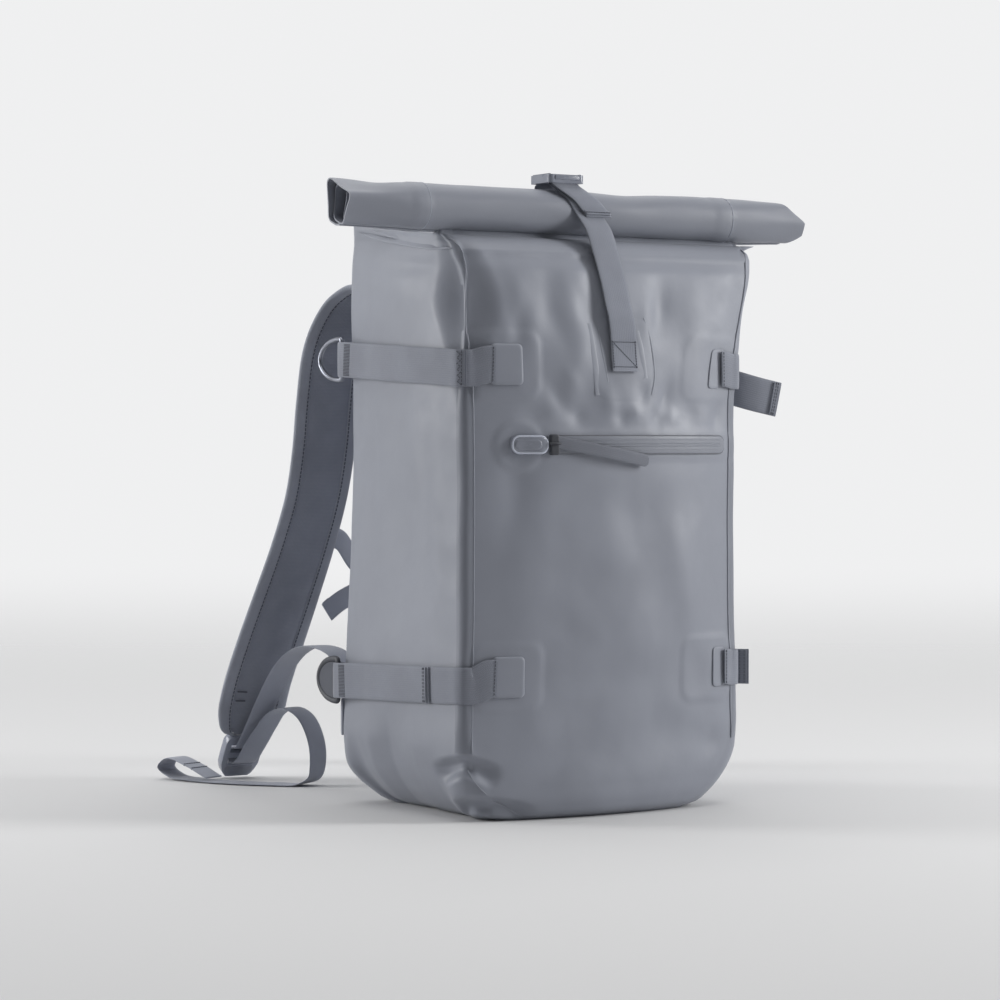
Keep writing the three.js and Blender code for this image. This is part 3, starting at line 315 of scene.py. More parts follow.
TAB = {"outer": 149, "from_z": 61, "to_z": 95, "thick": 2.8}

STERNUM = {"width": 20, "thick": 1.4, "hem": 11}
STERNUM_ROUTE = [
    (-82, 246.5, 238), (-72, 248, 235), (-54, 252, 215), (-30, 254, 198), (0, 254, 192),
    (30, 254, 198), (54, 252, 215), (72, 248, 235), (82, 246.5, 238),
]
STERNUM_TAIL_ROUTE = [(-18.8, 247, 190), (-36, 245, 189), (-62, 240, 183), (-80, 238, 175), (-93, 237, 166)]
STERNUM_BUCKLE = {"width": 36, "height": 27, "thick": 8, "y": 249, "z": 192}
BACK_PANEL = {"half": 117, "from_z": 62, "to_z": 462, "corner": 28, "thick": 7}
CUSHION = {"pressure": 4.0, "frames": 20, "cap": 5.0}

FLOOR_REACH = 8.0  # metres
AWAY = (0.545, 0.839, 0.0)  # the way the camera looks, level
# The floor fades into the backdrop: how far off the camera stands, how far round the object the floor is
# kept, and the closeness (one over distance) where it has gone and where it is full.
FLOOR_FADE = {"stand": 2.81, "kept": 2.2, "gone": 0.117, "full": 0.335}
BACKDROP = 0.87  # how bright the backdrop looks from every side
BACKDROP_COLOUR = (0.99, 0.993, 1.0, 1.0)
# Brighter parts of the surroundings: direction, cosines where they start and are full, and gain.
WORLD_LOBES = table("toward start full gain", [
    (AWAY, 0.35, 0.93, 0.775),
    ((0.0, 0.2, 0.98), 0.3, 0.9, 0.25),
])
# Soft boxes: place and target in metres, size and share of the light's power.
SOFT_BOXES = table("name place target size share", [
    ("top_box", (0.1, 0.2, 2.4), (0.1, 0.1, 0.2), (2.2, 2.2), 2.5),
    ("left_box", (-2.1, 1.6, 0.9), (0, 0, 0.35), (0.8, 1.5), 4.0),
    ("right_box", (2.15, -1.5, 1.2), (0, 0, 0.35), (0.8, 1.5), 5.2),
])


# Small helpers


def lerp(a, b, t):
    return a + (b - a) * t


def clamp(value, low=0.0, high=1.0):
    return min(max(value, low), high)


def smoothstep(value, low, high):
    t = clamp((value - low) / (high - low))
    return t * t * (3 - 2 * t)


def spaced(start, end, count):
    return [lerp(start, end, k / count) for k in range(count + 1)]


def along_run(run, place):
    """The second value at a place among rows of (place, value), which are in order."""
    k = next((i for i in range(len(run) - 2) if place < run[i + 1][0]), len(run) - 2)
    (p0, v0), (p1, v1) = run[k:k + 2]
    return lerp(v0, v1, clamp((place - p0) / (p1 - p0)))


# The bag's surface


@functools.lru_cache(maxsize=None)
def section_at(z):
    """The bag's section at a height, by a cubic through the table's rows."""
    z = clamp(z, 0, SHOULDER_Z)
    k = next(i for i in range(1, len(SECTIONS)) if z <= SECTIONS[i].z)
    low, high = SECTIONS[k - 1], SECTIONS[k]
    before = SECTIONS[k - 2] if k >= 2 else high
    before_z = before.z if k >= 2 else 2 * low.z - high.z
    after = SECTIONS[k + 1] if k + 1 < len(SECTIONS) else low
    after_z = after.z if k + 1 < len(SECTIONS) else 2 * high.z - low.z
    half_step = (high.z - low.z) / 2
    wp = half_step / (low.z - before_z)
    wn = half_step / (after_z - high.z)
    p = (z - low.z) / (high.z - low.z)
    weights = (
        -wp * p**3 + 2 * wp * p**2 - wp * p,
        (1 + wp) * p**3 + (-1.5 - 2 * wp) * p**2 + (-0.5 + wp) * p + 1,
        (-1 - wn) * p**3 + (1.5 + wn) * p**2 + 0.5 * p,
        wn * p**3 - wn * p**2,
    )
    rows = (before, low, high, after)
    return Section(*(sum(w * row[c] for w, row in zip(weights, rows)) for c in range(1, len(low))))


def dent_sum(dents, across, z):
    total = 0.0
    for dent in dents:
        a, b = across - dent.across, z - dent.z
        if abs(a) + abs(b) > 3.2 * (dent.wide + dent.tall):
            continue
        turn = math.radians(dent.turn)
        u = (a * math.cos(turn) + b * math.sin(turn)) / dent.wide
        v = (b * math.cos(turn) - a * math.sin(turn)) / dent.tall
        total += dent.depth * math.exp(-u * u - v * v)
    return total


def pinch_depth(from_corner, z):
    rise = math.hypot(z - PINCH.z, PINCH.blunt) - PINCH.blunt
    share = 1 - abs(from_corner) / PINCH.reach - rise / (PINCH.above if z > PINCH.z else PINCH.below)
    return PINCH.depth * smoothstep(share, -0.1, 1.05)


def swayed(point):
    """The right side swells out at the shoulder and tucks in at the base; the left bulges low at the back."""
    if point.x > 0:
        right = RIGHT_SWELL
        swell = lerp(right["base"], right["middle"], smoothstep(point.z, 0, right["base_to"]))
        swell = lerp(swell, right["shoulder"], smoothstep(point.z, right["shoulder_from"], SHOULDER_Z))
        point.x += swell * smoothstep(point.x, 0, right["full_x"])
    else:
        low = LEFT_BULGE
        bulge = low["out"] * smoothstep(point.z, 0, low["full_z"])
        bulge *= 1 - smoothstep(point.z, low["fade_from"], low["fade_to"])
        bulge *= smoothstep(point.y, low["from_y"], low["full_y"])
        point.x -= bulge * smoothstep(-point.x, *LEFT_EDGE)
        drawn_in = LEFT_TUCK["in"] * smoothstep(point.z, LEFT_TUCK["from_z"], SHOULDER_Z)
        point.x += drawn_in * smoothstep(-point.x, *LEFT_EDGE)
    return point


def weld_rise(x, z):
    rise = 0.0
    for weld in FRONT_WELDS:
        dx = abs(x - weld.across) - (weld.wide - weld.corner)
        dz = abs(z - weld.z) - (weld.tall - weld.corner)
        away = math.hypot(max(dx, 0), max(dz, 0)) + min(max(dx, dz), 0) - weld.corner
        rise = max(rise, weld.rise * smoothstep(-away, -WELD_SOFT, WELD_SOFT))
    return rise


def ripple(x, y, z):
    """Slight unevenness of the coated cloth."""
    return sum(
        wave.height * noise.noise((x / wave.along, y / wave.along, z / wave.up)) for wave in RIPPLES
    )


def turn_under(y, z):
    """How far the lower side has turned in at a height."""
    below = along_run(TURN_UNDER, y) - z
    drop = (below + math.hypot(below, TURN_SOFT)) / 2
    start, full, fading, gone = TURN_ENDS
    return TURN_SLOPE * drop * smoothstep(y, start, full) * (1 - smoothstep(y, fading, gone))


def tuck_depth(from_seam, z):
    """How deep the cloth is tucked in under the left seam's end; from_seam is negative on the side."""
    depth = 0.0
    for tuck in TUCKS:
        share = abs(from_seam) / (tuck.side if from_seam < 0 else tuck.front)
        if share < 1:
            below = tuck.z - tuck.sag * share**2 - z
            lobe = lerp(tuck.middle, 1, smoothstep(share, 0.08, 0.4)) * (1 - smoothstep(share, 0.5, 1))
            lobe *= 1 if from_seam < 0 else lerp(1, TUCK_FRONT_SHARE, smoothstep(share, 0.1, 0.4))
            reach = tuck.tall * lerp(0.85, 1, smoothstep(share, 0.0, 0.5))
            reach *= 1 - 0.4 * smoothstep(share, 0.6, 1)
            opening = smoothstep(below, 0, 0.34 * reach) * (1 - smoothstep(below, 0.5 * reach, reach))
            depth += tuck.depth * lobe * opening
    return depth


def front_relief(x, z, fine=True):
    section = section_at(z)
    edge = section.half - section.front_corner
    relief = weld_rise(x, z) - dent_sum(FRONT_DENTS, x, z)
    if fine:
        relief += ripple(x, -100, z) - dent_sum(FRONT_FOLDS, x, z)
        if x < 0:
            relief -= pinch_depth(edge + x, z)
    return relief


def side_relief(side, y, z, fine=True):
    section = section_at(z)
    edge = section.front + section.front_corner
    relief = -dent_sum(SIDE_DENTS, y, z) - turn_under(y, z)
    if fine:
        relief += ripple(150 * side, y, z) - dent_sum(SIDE_FOLDS, y, z)
        if side == LEFT:
            relief -= pinch_depth(y - edge, z)
    return relief


def front_point(x, z, out=0.0, fine=True):
    section = section_at(z)
    s = x / (section.half - section.front_corner)
    y = section.front - section.front_crown * (1 - s * s)
    if fine and x < 0:
        y += tuck_depth(section.front_corner * math.pi / 4 + section.half - section.front_corner + x, z)
    return swayed(Vector((x, y - front_relief(x, z, fine) - out, z)))


def plain_front(x, z, out):
    """A point off the front without its fine folds, for what is welded on."""
    return front_point(x, z, out, False)


def back_point(x, z, out=0.0):
    section = section_at(z)
    s = x / (section.half - section.back_corner)
    return swayed(Vector((x, section.back + section.back_crown * (1 - s * s) + out, z)))


def side_point(side, y, z, out=0.0, fine=True):
    section = section_at(z)
    low = section.front + section.front_corner
    high = section.back - section.back_corner
    s = lerp(-1, 1, (y - low) / (high - low))
    crown = section.side_crown * max(0, 1 - s * s)
    if fine and side == LEFT:
        crown -= tuck_depth(low - y - section.front_corner * math.pi / 4, z)
    return swayed(Vector((side * (section.half + crown + side_relief(side, y, z, fine) + out), y, z)))


def corner_point(side, angle, z, out=0.0, fine=True):
    """A point on a front corner: angle 0 is where the front ends, a quarter turn where the side starts."""
    section = section_at(z)
    radius = section.front_corner
    edge_x = section.half - radius
    edge_y = section.front + radius
    share = angle / (math.pi / 2)
    relief = lerp(front_relief(side * edge_x, z, fine), side_relief(side, edge_y, z, fine), share)
    if fine and side == LEFT:
        relief -= tuck_depth(radius * (math.pi / 4 - angle), z)
    reach = radius + relief + out
    return swayed(Vector((side * (edge_x + reach * math.sin(angle)), edge_y - reach * math.cos(angle), z)))


def back_corner_point(side, angle, z, out=0.0):
    section = section_at(z)
    radius = section.back_corner
    edge_y = section.back - radius
    relief = side_relief(side, edge_y, z) * angle / (math.pi / 2)
    reach = radius + relief + out
    x = section.half - radius + reach * math.sin(angle)
    return swayed(Vector((side * x, edge_y + reach * math.cos(angle), z)))


def outline_stations():
    def run(edge, count, start, end):
        return [(edge, s) for s in spaced(start, end, count)]

    def turn(edge, side, start, end):
        return [((edge, side), s) for s in spaced(start, end, OUTLINE_STEPS["corner"])[1:-1]]

    quarter = math.pi / 2
    return [
        *run("front", OUTLINE_STEPS["front"], -1, 1),
        *turn("front_corner", RIGHT, 0, quarter),
        *run(("side", RIGHT), OUTLINE_STEPS["side"], -1, 1),
        *turn("back_corner", RIGHT, quarter, 0),
        *run("back", OUTLINE_STEPS["back"], 1, -1),
        *turn("back_corner", LEFT, 0, quarter),
        *run(("side", LEFT), OUTLINE_STEPS["side"], 1, -1),
        *turn("front_corner", LEFT, quarter, 0),
    ]


STATIONS = outline_stations()


def wall_point(station, z, out=0.0):
    """A point on the bag's wall, level at height z."""
    edge, s = station
    section = section_at(z)
    if edge == "front":
        return front_point(s * (section.half - section.front_corner), z, out)
    if edge == "back":
        return back_point(s * (section.half - section.back_corner), z, out)
    kind, side = edge
    if kind == "front_corner":
        return corner_point(side, s, z, out)
    if kind == "back_corner":
        return back_corner_point(side, s, z, out)
    low = section.front + section.front_corner
    high = section.back - section.back_corner
    return side_point(side, lerp(low, high, (s + 1) / 2), z, out)


def back_share(section, y):
    return clamp((y - section.front) / (section.back - section.front))


def shoulder_rise(section, y):
    return SHOULDER_RISE * back_share(section, y) ** RISE_POWER


def bag_wall(station, z, out=0.0):
    point = wall_point(station, z, out)
    tilt = smoothstep(z, SHOULDER_TILT_FROM, SHOULDER_Z)
    point.z += tilt * shoulder_rise(section_at(z), point.y)
    return point


def bag_roof(station, t):
    """The roof from the shoulder (t = 0) in to the flattened neck (t = 1)."""
    shoulder = bag_wall(station, SHOULDER_Z)
    edge, s = station
    corner = NECK.front_corner
    if edge == "front":
        neck = Vector((s * (NECK.half - NECK.front_corner), NECK.front, NECK_Z))
    elif edge == "back":
        neck = Vector((s * (NECK.half - NECK.back_corner), NECK.back, NECK_Z))
    elif edge[0] == "side":
        y = lerp(NECK.front + corner, NECK.back - corner, (s + 1) / 2)
        neck = Vector((edge[1] * NECK.half, y, NECK_Z))
    else:
        away = -1 if edge[0] == "front_corner" else 1
        centre_y = NECK.front + corner if away < 0 else NECK.back - corner
        x = NECK.half - corner + corner * math.sin(s)
        neck = Vector((edge[1] * x, centre_y + away * corner * math.cos(s), NECK_Z))
    if neck.x > 0:
        neck.x += NECK_RIGHT * neck.x / NECK.half
    point = shoulder.lerp(neck, t)
    rise = 1 - (1 - t) ** 2
    crown = ROOF_CROWN * math.sin(math.pi * t) * back_share(SHOULDER, shoulder.y)
    point.z = lerp(shoulder.z, NECK_Z, rise) + crown
    if edge not in ("front", "back") and edge[0] != "back_corner":
        point.z += ROOF_FOLD * math.sin(3 * math.pi * t) * (1 - t)
    return point


# Meshes


def lofted(around, along, place, uv_at=None, close_along=False):
    """A tube of quads: place(k, j) gives ring j's point k in millimetres, and uv_at(k, j) its UV in metres.

    Rings close on themselves. Points that fall together, such as a pole or a flattened end, are merged.
    """
    bm = bmesh.new()
    uv_layer = bm.loops.layers.uv.new("UVMap")
    bmesh.ops.create_grid(bm, x_segments=around, y_segments=along, size=1.0)
    low = min(v.co.x for v in bm.verts)
    span = max(v.co.x for v in bm.verts) - low
    cells = {}
    for vert in bm.verts:
        cells[vert] = (round((vert.co.x - low) / span * around), round((vert.co.y - low) / span * along))
    if uv_at:
        for face in bm.faces:
            for loop in face.loops:
                loop[uv_layer].uv = uv_at(*cells[loop.vert])
    rings = along if close_along else along + 1
    points = [[Vector(place(k, j)) * MM for k in range(around)] for j in range(rings)]
    for vert, (k, j) in cells.items():
        vert.co = points[j % rings][k % around]
    bmesh.ops.remove_doubles(bm, verts=bm.verts[:], dist=1e-6)
    return bm


def outward(bm):
    """The mesh with all its faces turned outwards."""
    bmesh.ops.recalc_face_normals(bm, faces=bm.faces[:])
    return bm


def closed(bm):
    """Fills the open rings of a tube and turns its faces outwards."""
    open_edges = [edge for edge in bm.edges if edge.is_boundary]
    if open_edges:
        bmesh.ops.holes_fill(bm, edges=open_edges, sides=0)
    return outward(bm)


def joined(parts):
    """One mesh from several, each with the number of its material."""
    whole = bmesh.new()
    for bm, number in parts:
        for face in bm.faces:
            face.material_index = number
        part = bpy.data.meshes.new("part")
        bm.to_mesh(part)
        bm.free()
        whole.from_mesh(part)
        bpy.data.meshes.remove(part)
    return whole


def mirrored(bm):
    bmesh.ops.scale(bm, vec=(-1, 1, 1), verts=bm.verts[:])
    bmesh.ops.reverse_faces(bm, faces=bm.faces[:])
    return bm


def piece(name, bm, materials, nodes, sharp=40):
    mesh = bpy.data.meshes.new(name)
    bm.to_mesh(mesh)
    bm.free()
    for material in materials:
        mesh.materials.append(material)
    mesh.shade_smooth()
    mesh.set_sharp_from_angle(angle=math.radians(sharp))
    obj = bpy.data.objects.new(name, mesh)
    bpy.context.scene.collection.objects.link(obj)
    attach(obj, "root")
    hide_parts(*nodes)
    return obj


Frame = namedtuple("Frame", "middle across off share along")
OTHER_FACE = 0.1  # where the UV of a strap's other face starts, in metres


def curve_through(points, per_span=12):
    """A smooth line through points, each with its place counted in points (centripetal)."""
    pts = [Vector(p[:3]) for p in points]
    pts = [pts[0] * 2 - pts[1], *pts, pts[-1] * 2 - pts[-2]]
    line = []
    for k in range(1, len(pts) - 2):
        p0, p1, p2, p3 = pts[k - 1:k + 3]
        d1 = max((p1 - p0).length, 1e-6) ** 0.5
        d2 = max((p2 - p1).length, 1e-6) ** 0.5
        d3 = max((p3 - p2).length, 1e-6) ** 0.5
        m1 = ((p1 - p0) / d1 - (p2 - p0) / (d1 + d2) + (p2 - p1) / d2) * d2
        m2 = ((p2 - p1) / d2 - (p3 - p1) / (d2 + d3) + (p3 - p2) / d3) * d2
        for i in range(per_span):
            t = i / per_span
            point = (
                p1 * (2 * t**3 - 3 * t**2 + 1) + m1 * (t**3 - 2 * t**2 + t)
                + p2 * (-2 * t**3 + 3 * t**2) + m2 * (t**3 - t**2)
            )
            line.append((point, k - 1 + t))
    line.append((pts[-2], len(points) - 1.0))
    return line


def resampled(line, step):
    """Points at an even step along a line, with their places interpolated."""
    lengths = [0.0]
    for (a, _), (b, _) in zip(line, line[1:]):
        lengths.append(lengths[-1] + (b - a).length)
    count = max(2, round(lengths[-1] / step))
    result, k = [], 0
    for i in range(count + 1):
        want = lengths[-1] * i / count
        while k < len(line) - 2 and lengths[k + 1] < want:
            k += 1
        t = clamp((want - lengths[k]) / max(lengths[k + 1] - lengths[k], 1e-9))
        result.append((line[k][0].lerp(line[k + 1][0], t), lerp(line[k][1], line[k + 1][1], t), want))
    return result


def strap_frames(points, across_at, step=2.5, level=False):
    """Frames along a flat strap.

    across_at(place) gives the wanted direction of its width, which is kept as it is when level.
    """
    line = resampled(curve_through(points), step)
    frames = []
    for k, (middle, place, along) in enumerate(line):
        before, after = line[max(k - 1, 0)][0], line[min(k + 1, len(line) - 1)][0]
        tangent = (after - before).normalized()
        wanted = Vector(across_at(place))
        across = (wanted if level else wanted - tangent * wanted.dot(tangent)).normalized()
        frames.append(Frame(middle, across, tangent.cross(across).normalized(), place, along))
    return frames


def upright(place):
    return (0, 0, 1)


def crosswise(place):
    return (1, 0, 0)


def ribbon(frames, width, thick, columns=10, scale=None):
    """A flat strap with soft edges; scale(frame) narrows it."""
    shares = [math.sin(math.pi / 2 * s) for s in spaced(-1, 1, columns)]
    around = 2 * columns
    last = len(frames) - 1

    def place_across(k):
        k %= around
        return (shares[k], 1) if k <= columns else (shares[around - k], -1)

    def place(k, j):
        at = frames[clamp(j - 1, 0, last)]
        share, face = place_across(k)
        half = 0 if j in (0, last + 2) else thick / 2 * (1 - abs(share) ** 8) ** 0.5
        narrowed = width / 2 * (scale(at) if scale else 1)
        return at.middle + at.across * share * narrowed + at.off * half * face

    def uv_at(k, j):
        share, face = place_across(k)
        across = share * width / 2 * MM + (0 if face > 0 else OTHER_FACE)
        return (across, frames[clamp(j - 1, 0, last)].along * MM)

    bm = lofted(around, last + 2, place, uv_at)
    return outward(bm)


def lifted(frames, distance):
    return [at._replace(middle=at.middle + at.off * distance) for at in frames]


def cut(frames, start, end):
    """The frames between two lengths along the strap; negative lengths count from its end."""
    total = frames[-1].along
    start, end = (value if value >= 0 else total + value for value in (start, end))
    return [at for at in frames if start - 1e-6 <= at.along <= end + 1e-6]


def tube(points, radius, sides=8, close=False, flat=1.0, normal=None):
    """A round bead or wire along points; flat squeezes it along a fixed normal."""
    count = len(points)
    pts = [Vector(p) for p in points]

    def frame_at(j):
        before = pts[(j - 1) % count] if close else pts[max(j - 1, 0)]
        after = pts[(j + 1) % count] if close else pts[min(j + 1, count - 1)]
        tangent = (after - before).normalized()
        up = Vector(normal) if normal else Vector((0.13, 0.21, 0.97))
        side = tangent.cross(up).normalized()
        return side, side.cross(tangent)

    def place(k, j):
        if not close and j in (0, count + 1):
            return pts[0 if j == 0 else -1]
        index = j % count if close else j - 1
        side, up = frame_at(index)
        angle = 2 * math.pi * k / sides
        return pts[index] + side * radius * math.cos(angle) + up * radius * flat * math.sin(angle)

    bm = lofted(sides, count if close else count + 1, place, close_along=close)
    return outward(bm)


def smooth_points(points, step=2.0):
    return [point for point, _, _ in resampled(curve_through(points), step)]


def stitches(points, offs, pitch=3.6, length=2.6, radius=0.38):
    """A row of thread stitches along points, each a small bevelled bar that lies on the surface."""
    whole = bmesh.new()
    line = [(Vector(p), k) for k, p in enumerate(points)]
    for middle, place, _ in resampled(line, pitch):
        k = min(int(place), len(points) - 2)
        tangent = (Vector(points[k + 1]) - Vector(points[k])).normalized()
        off = Vector(offs[k]).normalized()
        across = off.cross(tangent).normalized()
        turn = Matrix((tangent, across, off)).transposed().to_4x4()
        scale = Matrix.Diagonal((length, 2 * radius, 2 * radius, 1))
        matrix = Matrix.Scale(MM, 4) @ Matrix.Translation(middle) @ turn @ scale
        bmesh.ops.create_cube(whole, size=1.0, matrix=matrix)
    bmesh.ops.bevel(
        whole, geom=whole.edges[:], offset=0.3 * radius * MM,
        segments=1, profile=0.5, affect="EDGES", material=-1,
    )
    return whole


def rounded_outline(width, height, corner, count=72):
    """Points round a rounded rectangle, as (x, z) from its middle."""
    straight_x, straight_z = width / 2 - corner, height / 2 - corner
    per_side = count // 8
    points = []
    for quadrant, (cx, cz) in enumerate([(1, -1), (1, 1), (-1, 1), (-1, -1)]):
        start = math.pi / 2 * (quadrant - 1)
        for k in range(per_side):
            angle = start + math.pi / 2 * k / (per_side - 1)
            x = cx * straight_x + corner * math.cos(angle)
            points.append((x, cz * straight_z + corner * math.sin(angle)))
        nx, nz = [(1, 1), (-1, 1), (-1, -1), (1, -1)][quadrant]
        last_x, last_z = points[-1]
        next_x = nx * straight_x + corner * math.cos(start + math.pi / 2)
        next_z = nz * straight_z + corner * math.sin(start + math.pi / 2)
        for share in spaced(0, 1, per_side + 1)[1:-1]:
            points.append((lerp(last_x, next_x, share), lerp(last_z, next_z, share)))
    return points


def pad_on(face, x, z, width, height, corner, profile):
    """A welded or moulded pad that face(x, z, out) carries.

    The profile's rows give the share of its size, how far in from the edge they lie, and their height.
    """
    outline = rounded_outline(width, height, corner)

    def place(k, j):
        share, inset, out = profile[j]
        dx, dz = outline[k % len(outline)]
        kx = share * (1 - 2 * inset / width)
        kz = share * (1 - 2 * inset / height)
        return face(x + dx * kx, z + dz * kz, out)

    bm = lofted(len(outline), len(profile) - 1, place)
    return outward(bm)


def pad_profile(base, thick, edge, shares=(0.85, 0.65, 0.45, 0.25, 0.1, 0)):
    """Rows of share, inset and height from the middle of the underside to the middle of the top."""
    rows = [(share, 0, base) for share in reversed(shares)]
    rows.append((1, 0, base))
    for step in range(4):
        angle = math.pi / 2 * step / 3
        rows.append((1, edge * (1 - math.cos(angle)), base + thick - edge + edge * math.sin(angle)))
    rows += [(share, edge, base + thick) for share in shares]
    return rows


def slotted_plate(x_lines, y_lines, slots, thick, corner, edge):
    """A flat moulded frame with slots, round corners and soft edges, centred on its plane, in millimetres."""
    bm = bmesh.new()
    columns, rows = len(x_lines) - 1, len(y_lines) - 1
    bmesh.ops.create_grid(bm, x_segments=columns, y_segments=rows, size=1.0)
    for vert in bm.verts:
        k, j = round((vert.co.x + 1) / 2 * columns), round((vert.co.y + 1) / 2 * rows)
        vert.co = Vector((x_lines[k], y_lines[j], -thick / 2))
    centres = [
        Vector(((x_lines[k] + x_lines[k + 1]) / 2, (y_lines[j] + y_lines[j + 1]) / 2, -thick / 2))
        for k, j in slots
    ]
    gone = [f for f in bm.faces if any((f.calc_center_median() - c).length < 0.1 for c in centres)]
    bmesh.ops.delete(bm, geom=gone, context="FACES")
    ends_x, ends_y = (x_lines[0], x_lines[-1]), (y_lines[0], y_lines[-1])
    corners = [v for v in bm.verts if v.co.x in ends_x and v.co.y in ends_y]
    bmesh.ops.bevel(
        bm, geom=corners, offset=corner, segments=6, profile=0.5, affect="VERTICES", material=-1,
    )
    top = bmesh.ops.extrude_face_region(bm, geom=bm.faces[:])
    moved = [g for g in top["geom"] if isinstance(g, bmesh.types.BMVert)]
    bmesh.ops.translate(bm, vec=(0, 0, thick), verts=moved)
    outward(bm)
    sharp = [e for e in bm.edges if len(e.link_faces) == 2 and e.calc_face_angle() > math.radians(40)]
    bmesh.ops.bevel(
        bm, geom=sharp, offset=edge, segments=3, profile=0.5, affect="EDGES", material=-1, clamp_overlap=True,
    )
    return bm


def evaluated_mesh(obj):
    return bpy.data.meshes.new_from_object(obj.evaluated_get(bpy.context.evaluated_depsgraph_get()))


def puffed(bm, held, voxel, cap):
    """The mesh blown up like a cushion by a cloth simulation; held(point) says what the seams hold."""
    scene = bpy.context.scene
    rough = bpy.data.meshes.new("cushion")
    bm.to_mesh(rough)
    bm.free()
    cushion = bpy.data.objects.new("cushion", rough)
    scene.collection.objects.link(cushion)
    remesh = cushion.modifiers.new("even", "REMESH")
    remesh.mode = "VOXEL"
    remesh.voxel_size = voxel * MM
    even = evaluated_mesh(cushion)
    cushion.modifiers.clear()
    cushion.data = even
    group = cushion.vertex_groups.new(name="held")
    group.add([vert.index for vert in even.vertices if held(vert.co / MM)], 1.0, "REPLACE")
    cloth = cushion.modifiers.new("blown", "CLOTH")
    cloth.settings.quality = 6
    cloth.settings.use_pressure = True
    cloth.settings.uniform_pressure_force = CUSHION["pressure"]
    cloth.settings.effector_weights.gravity = 0
    cloth.settings.vertex_group_mass = group.name
    cloth.point_cache.frame_end = CUSHION["frames"]
    for frame_number in range(1, CUSHION["frames"] + 1):
        scene.frame_set(frame_number)
    blown = evaluated_mesh(cushion)
    scene.frame_set(1)
    for before, after in zip(even.vertices, blown.vertices):
        move = after.co - before.co
        after.co = before.co + move * min(1.0, cap * MM / max(move.length, 1e-9))
    bm = bmesh.new()
    bm.from_mesh(blown)
    bmesh.ops.smooth_vert(
        bm, verts=bm.verts[:], factor=0.5, use_axis_x=True, use_axis_y=True, use_axis_z=True,
    )
    bmesh.ops.subdivide_edges(bm, edges=bm.edges[:], cuts=1, smooth=1.0, use_grid_fill=True)
    outward(bm)
    bpy.data.objects.remove(cushion)
    for mesh in (rough, even, blown):
        bpy.data.meshes.remove(mesh)
    return bm


def placed(bm, matrix):
    bmesh.ops.transform(bm, matrix=Matrix.Scale(MM, 4) @ matrix, verts=bm.verts[:])
    return bm


# Materials


def node(tree, kind, inputs=None, **settings):
    made = tree.nodes.new(kind)
    for name, value in settings.items():
        setattr(made, name, value)
    for name, value in (inputs or {}).items():
        if isinstance(value, bpy.types.NodeSocket):
            tree.links.new(value, made.inputs[name])
        else:
            made.inputs[name].default_value = value
    return made


def noise_at(tree, vector, scale, detail=2.0, roughness=0.5):
    inputs = {"Vector": vector, "Scale": scale, "Detail": detail, "Roughness": roughness}
    return node(tree, "ShaderNodeTexNoise", inputs).outputs["Fac"]


def ranged(tree, value, low, high, to_low, to_high, way="LINEAR"):
    inputs = {"Value": value, "From Min": low, "From Max": high, "To Min": to_low, "To Max": to_high}
    return node(tree, "ShaderNodeMapRange", inputs, interpolation_type=way).outputs["Result"]


def math_node(tree, operation, a, b=0.0):
    return node(tree, "ShaderNodeMath", {0: a, 1: b}, operation=operation).outputs[0]


def vector_math(tree, operation, *vectors):
    inputs = dict(enumerate(vectors))
    return node(tree, "ShaderNodeVectorMath", inputs, operation=operation).outputs["Value"]


def waves(tree, vector, scale, direction):
    inputs = {"Vector": vector, "Scale": scale}
    return node(tree, "ShaderNodeTexWave", inputs, bands_direction=direction).outputs["Fac"]


def blended(tree, factor, first, second):
    made = node(tree, "ShaderNodeMix", data_type="RGBA", blend_type="MIX")
    for socket, value in zip((made.inputs[0], made.inputs[6], made.inputs[7]), (factor, first, second)):
        if isinstance(value, bpy.types.NodeSocket):
            tree.links.new(value, socket)
        else:
            socket.default_value = value
    return made.outputs[2]


def tinted(colour, gain):
    return tuple(clamp(c * gain) for c in colour[:3]) + (1.0,)


def spread(tree, value, low, high):
    """A noise's middle range spread out to run from low to high."""
    return ranged(tree, value, 0.3, 0.7, low, high)


def clouded(tree, cloud, colour, low, high):
    """A colour that wanders with a noise between two gains."""
    return blended(tree, spread(tree, cloud, 0, 1), tinted(colour, low), tinted(colour, high))


def bumped(tree, height, distance, strength=1.0, normal=None):
    inputs = {"Height": height, "Distance": distance, "Strength": strength}
    if normal is not None:
        inputs["Normal"] = normal
    return node(tree, "ShaderNodeBump", inputs).outputs["Normal"]


def surface(**plain):
    """Makes a material's recipe give one material for each name.

    Plain sockets get these values. The recipe returns what is linked to the others.
    """
    def wrapped(recipe):
        @functools.wraps(recipe)
        def made(name, *values, **choices):
            material = bpy.data.materials.get(name)
            if material:
                return material
            material = bpy.data.materials.new(name)
            material.use_nodes = True
            tree = material.node_tree
            sockets = tree.nodes["Principled BSDF"].inputs
            for socket, value in plain.items():
                sockets[socket.replace("_", " ")].default_value = value
            for socket, link in recipe(tree, *values, **choices).items():
                tree.links.new(link, sockets[socket])
            return material

        return made

    return wrapped


def object_coords(tree):
    return node(tree, "ShaderNodeTexCoord").outputs["Object"]


def uv_coords(tree):
    uv = node(tree, "ShaderNodeTexCoord").outputs["UV"]
    parts = node(tree, "ShaderNodeSeparateXYZ", {"Vector": uv})
    return parts.outputs["X"], parts.outputs["Y"]


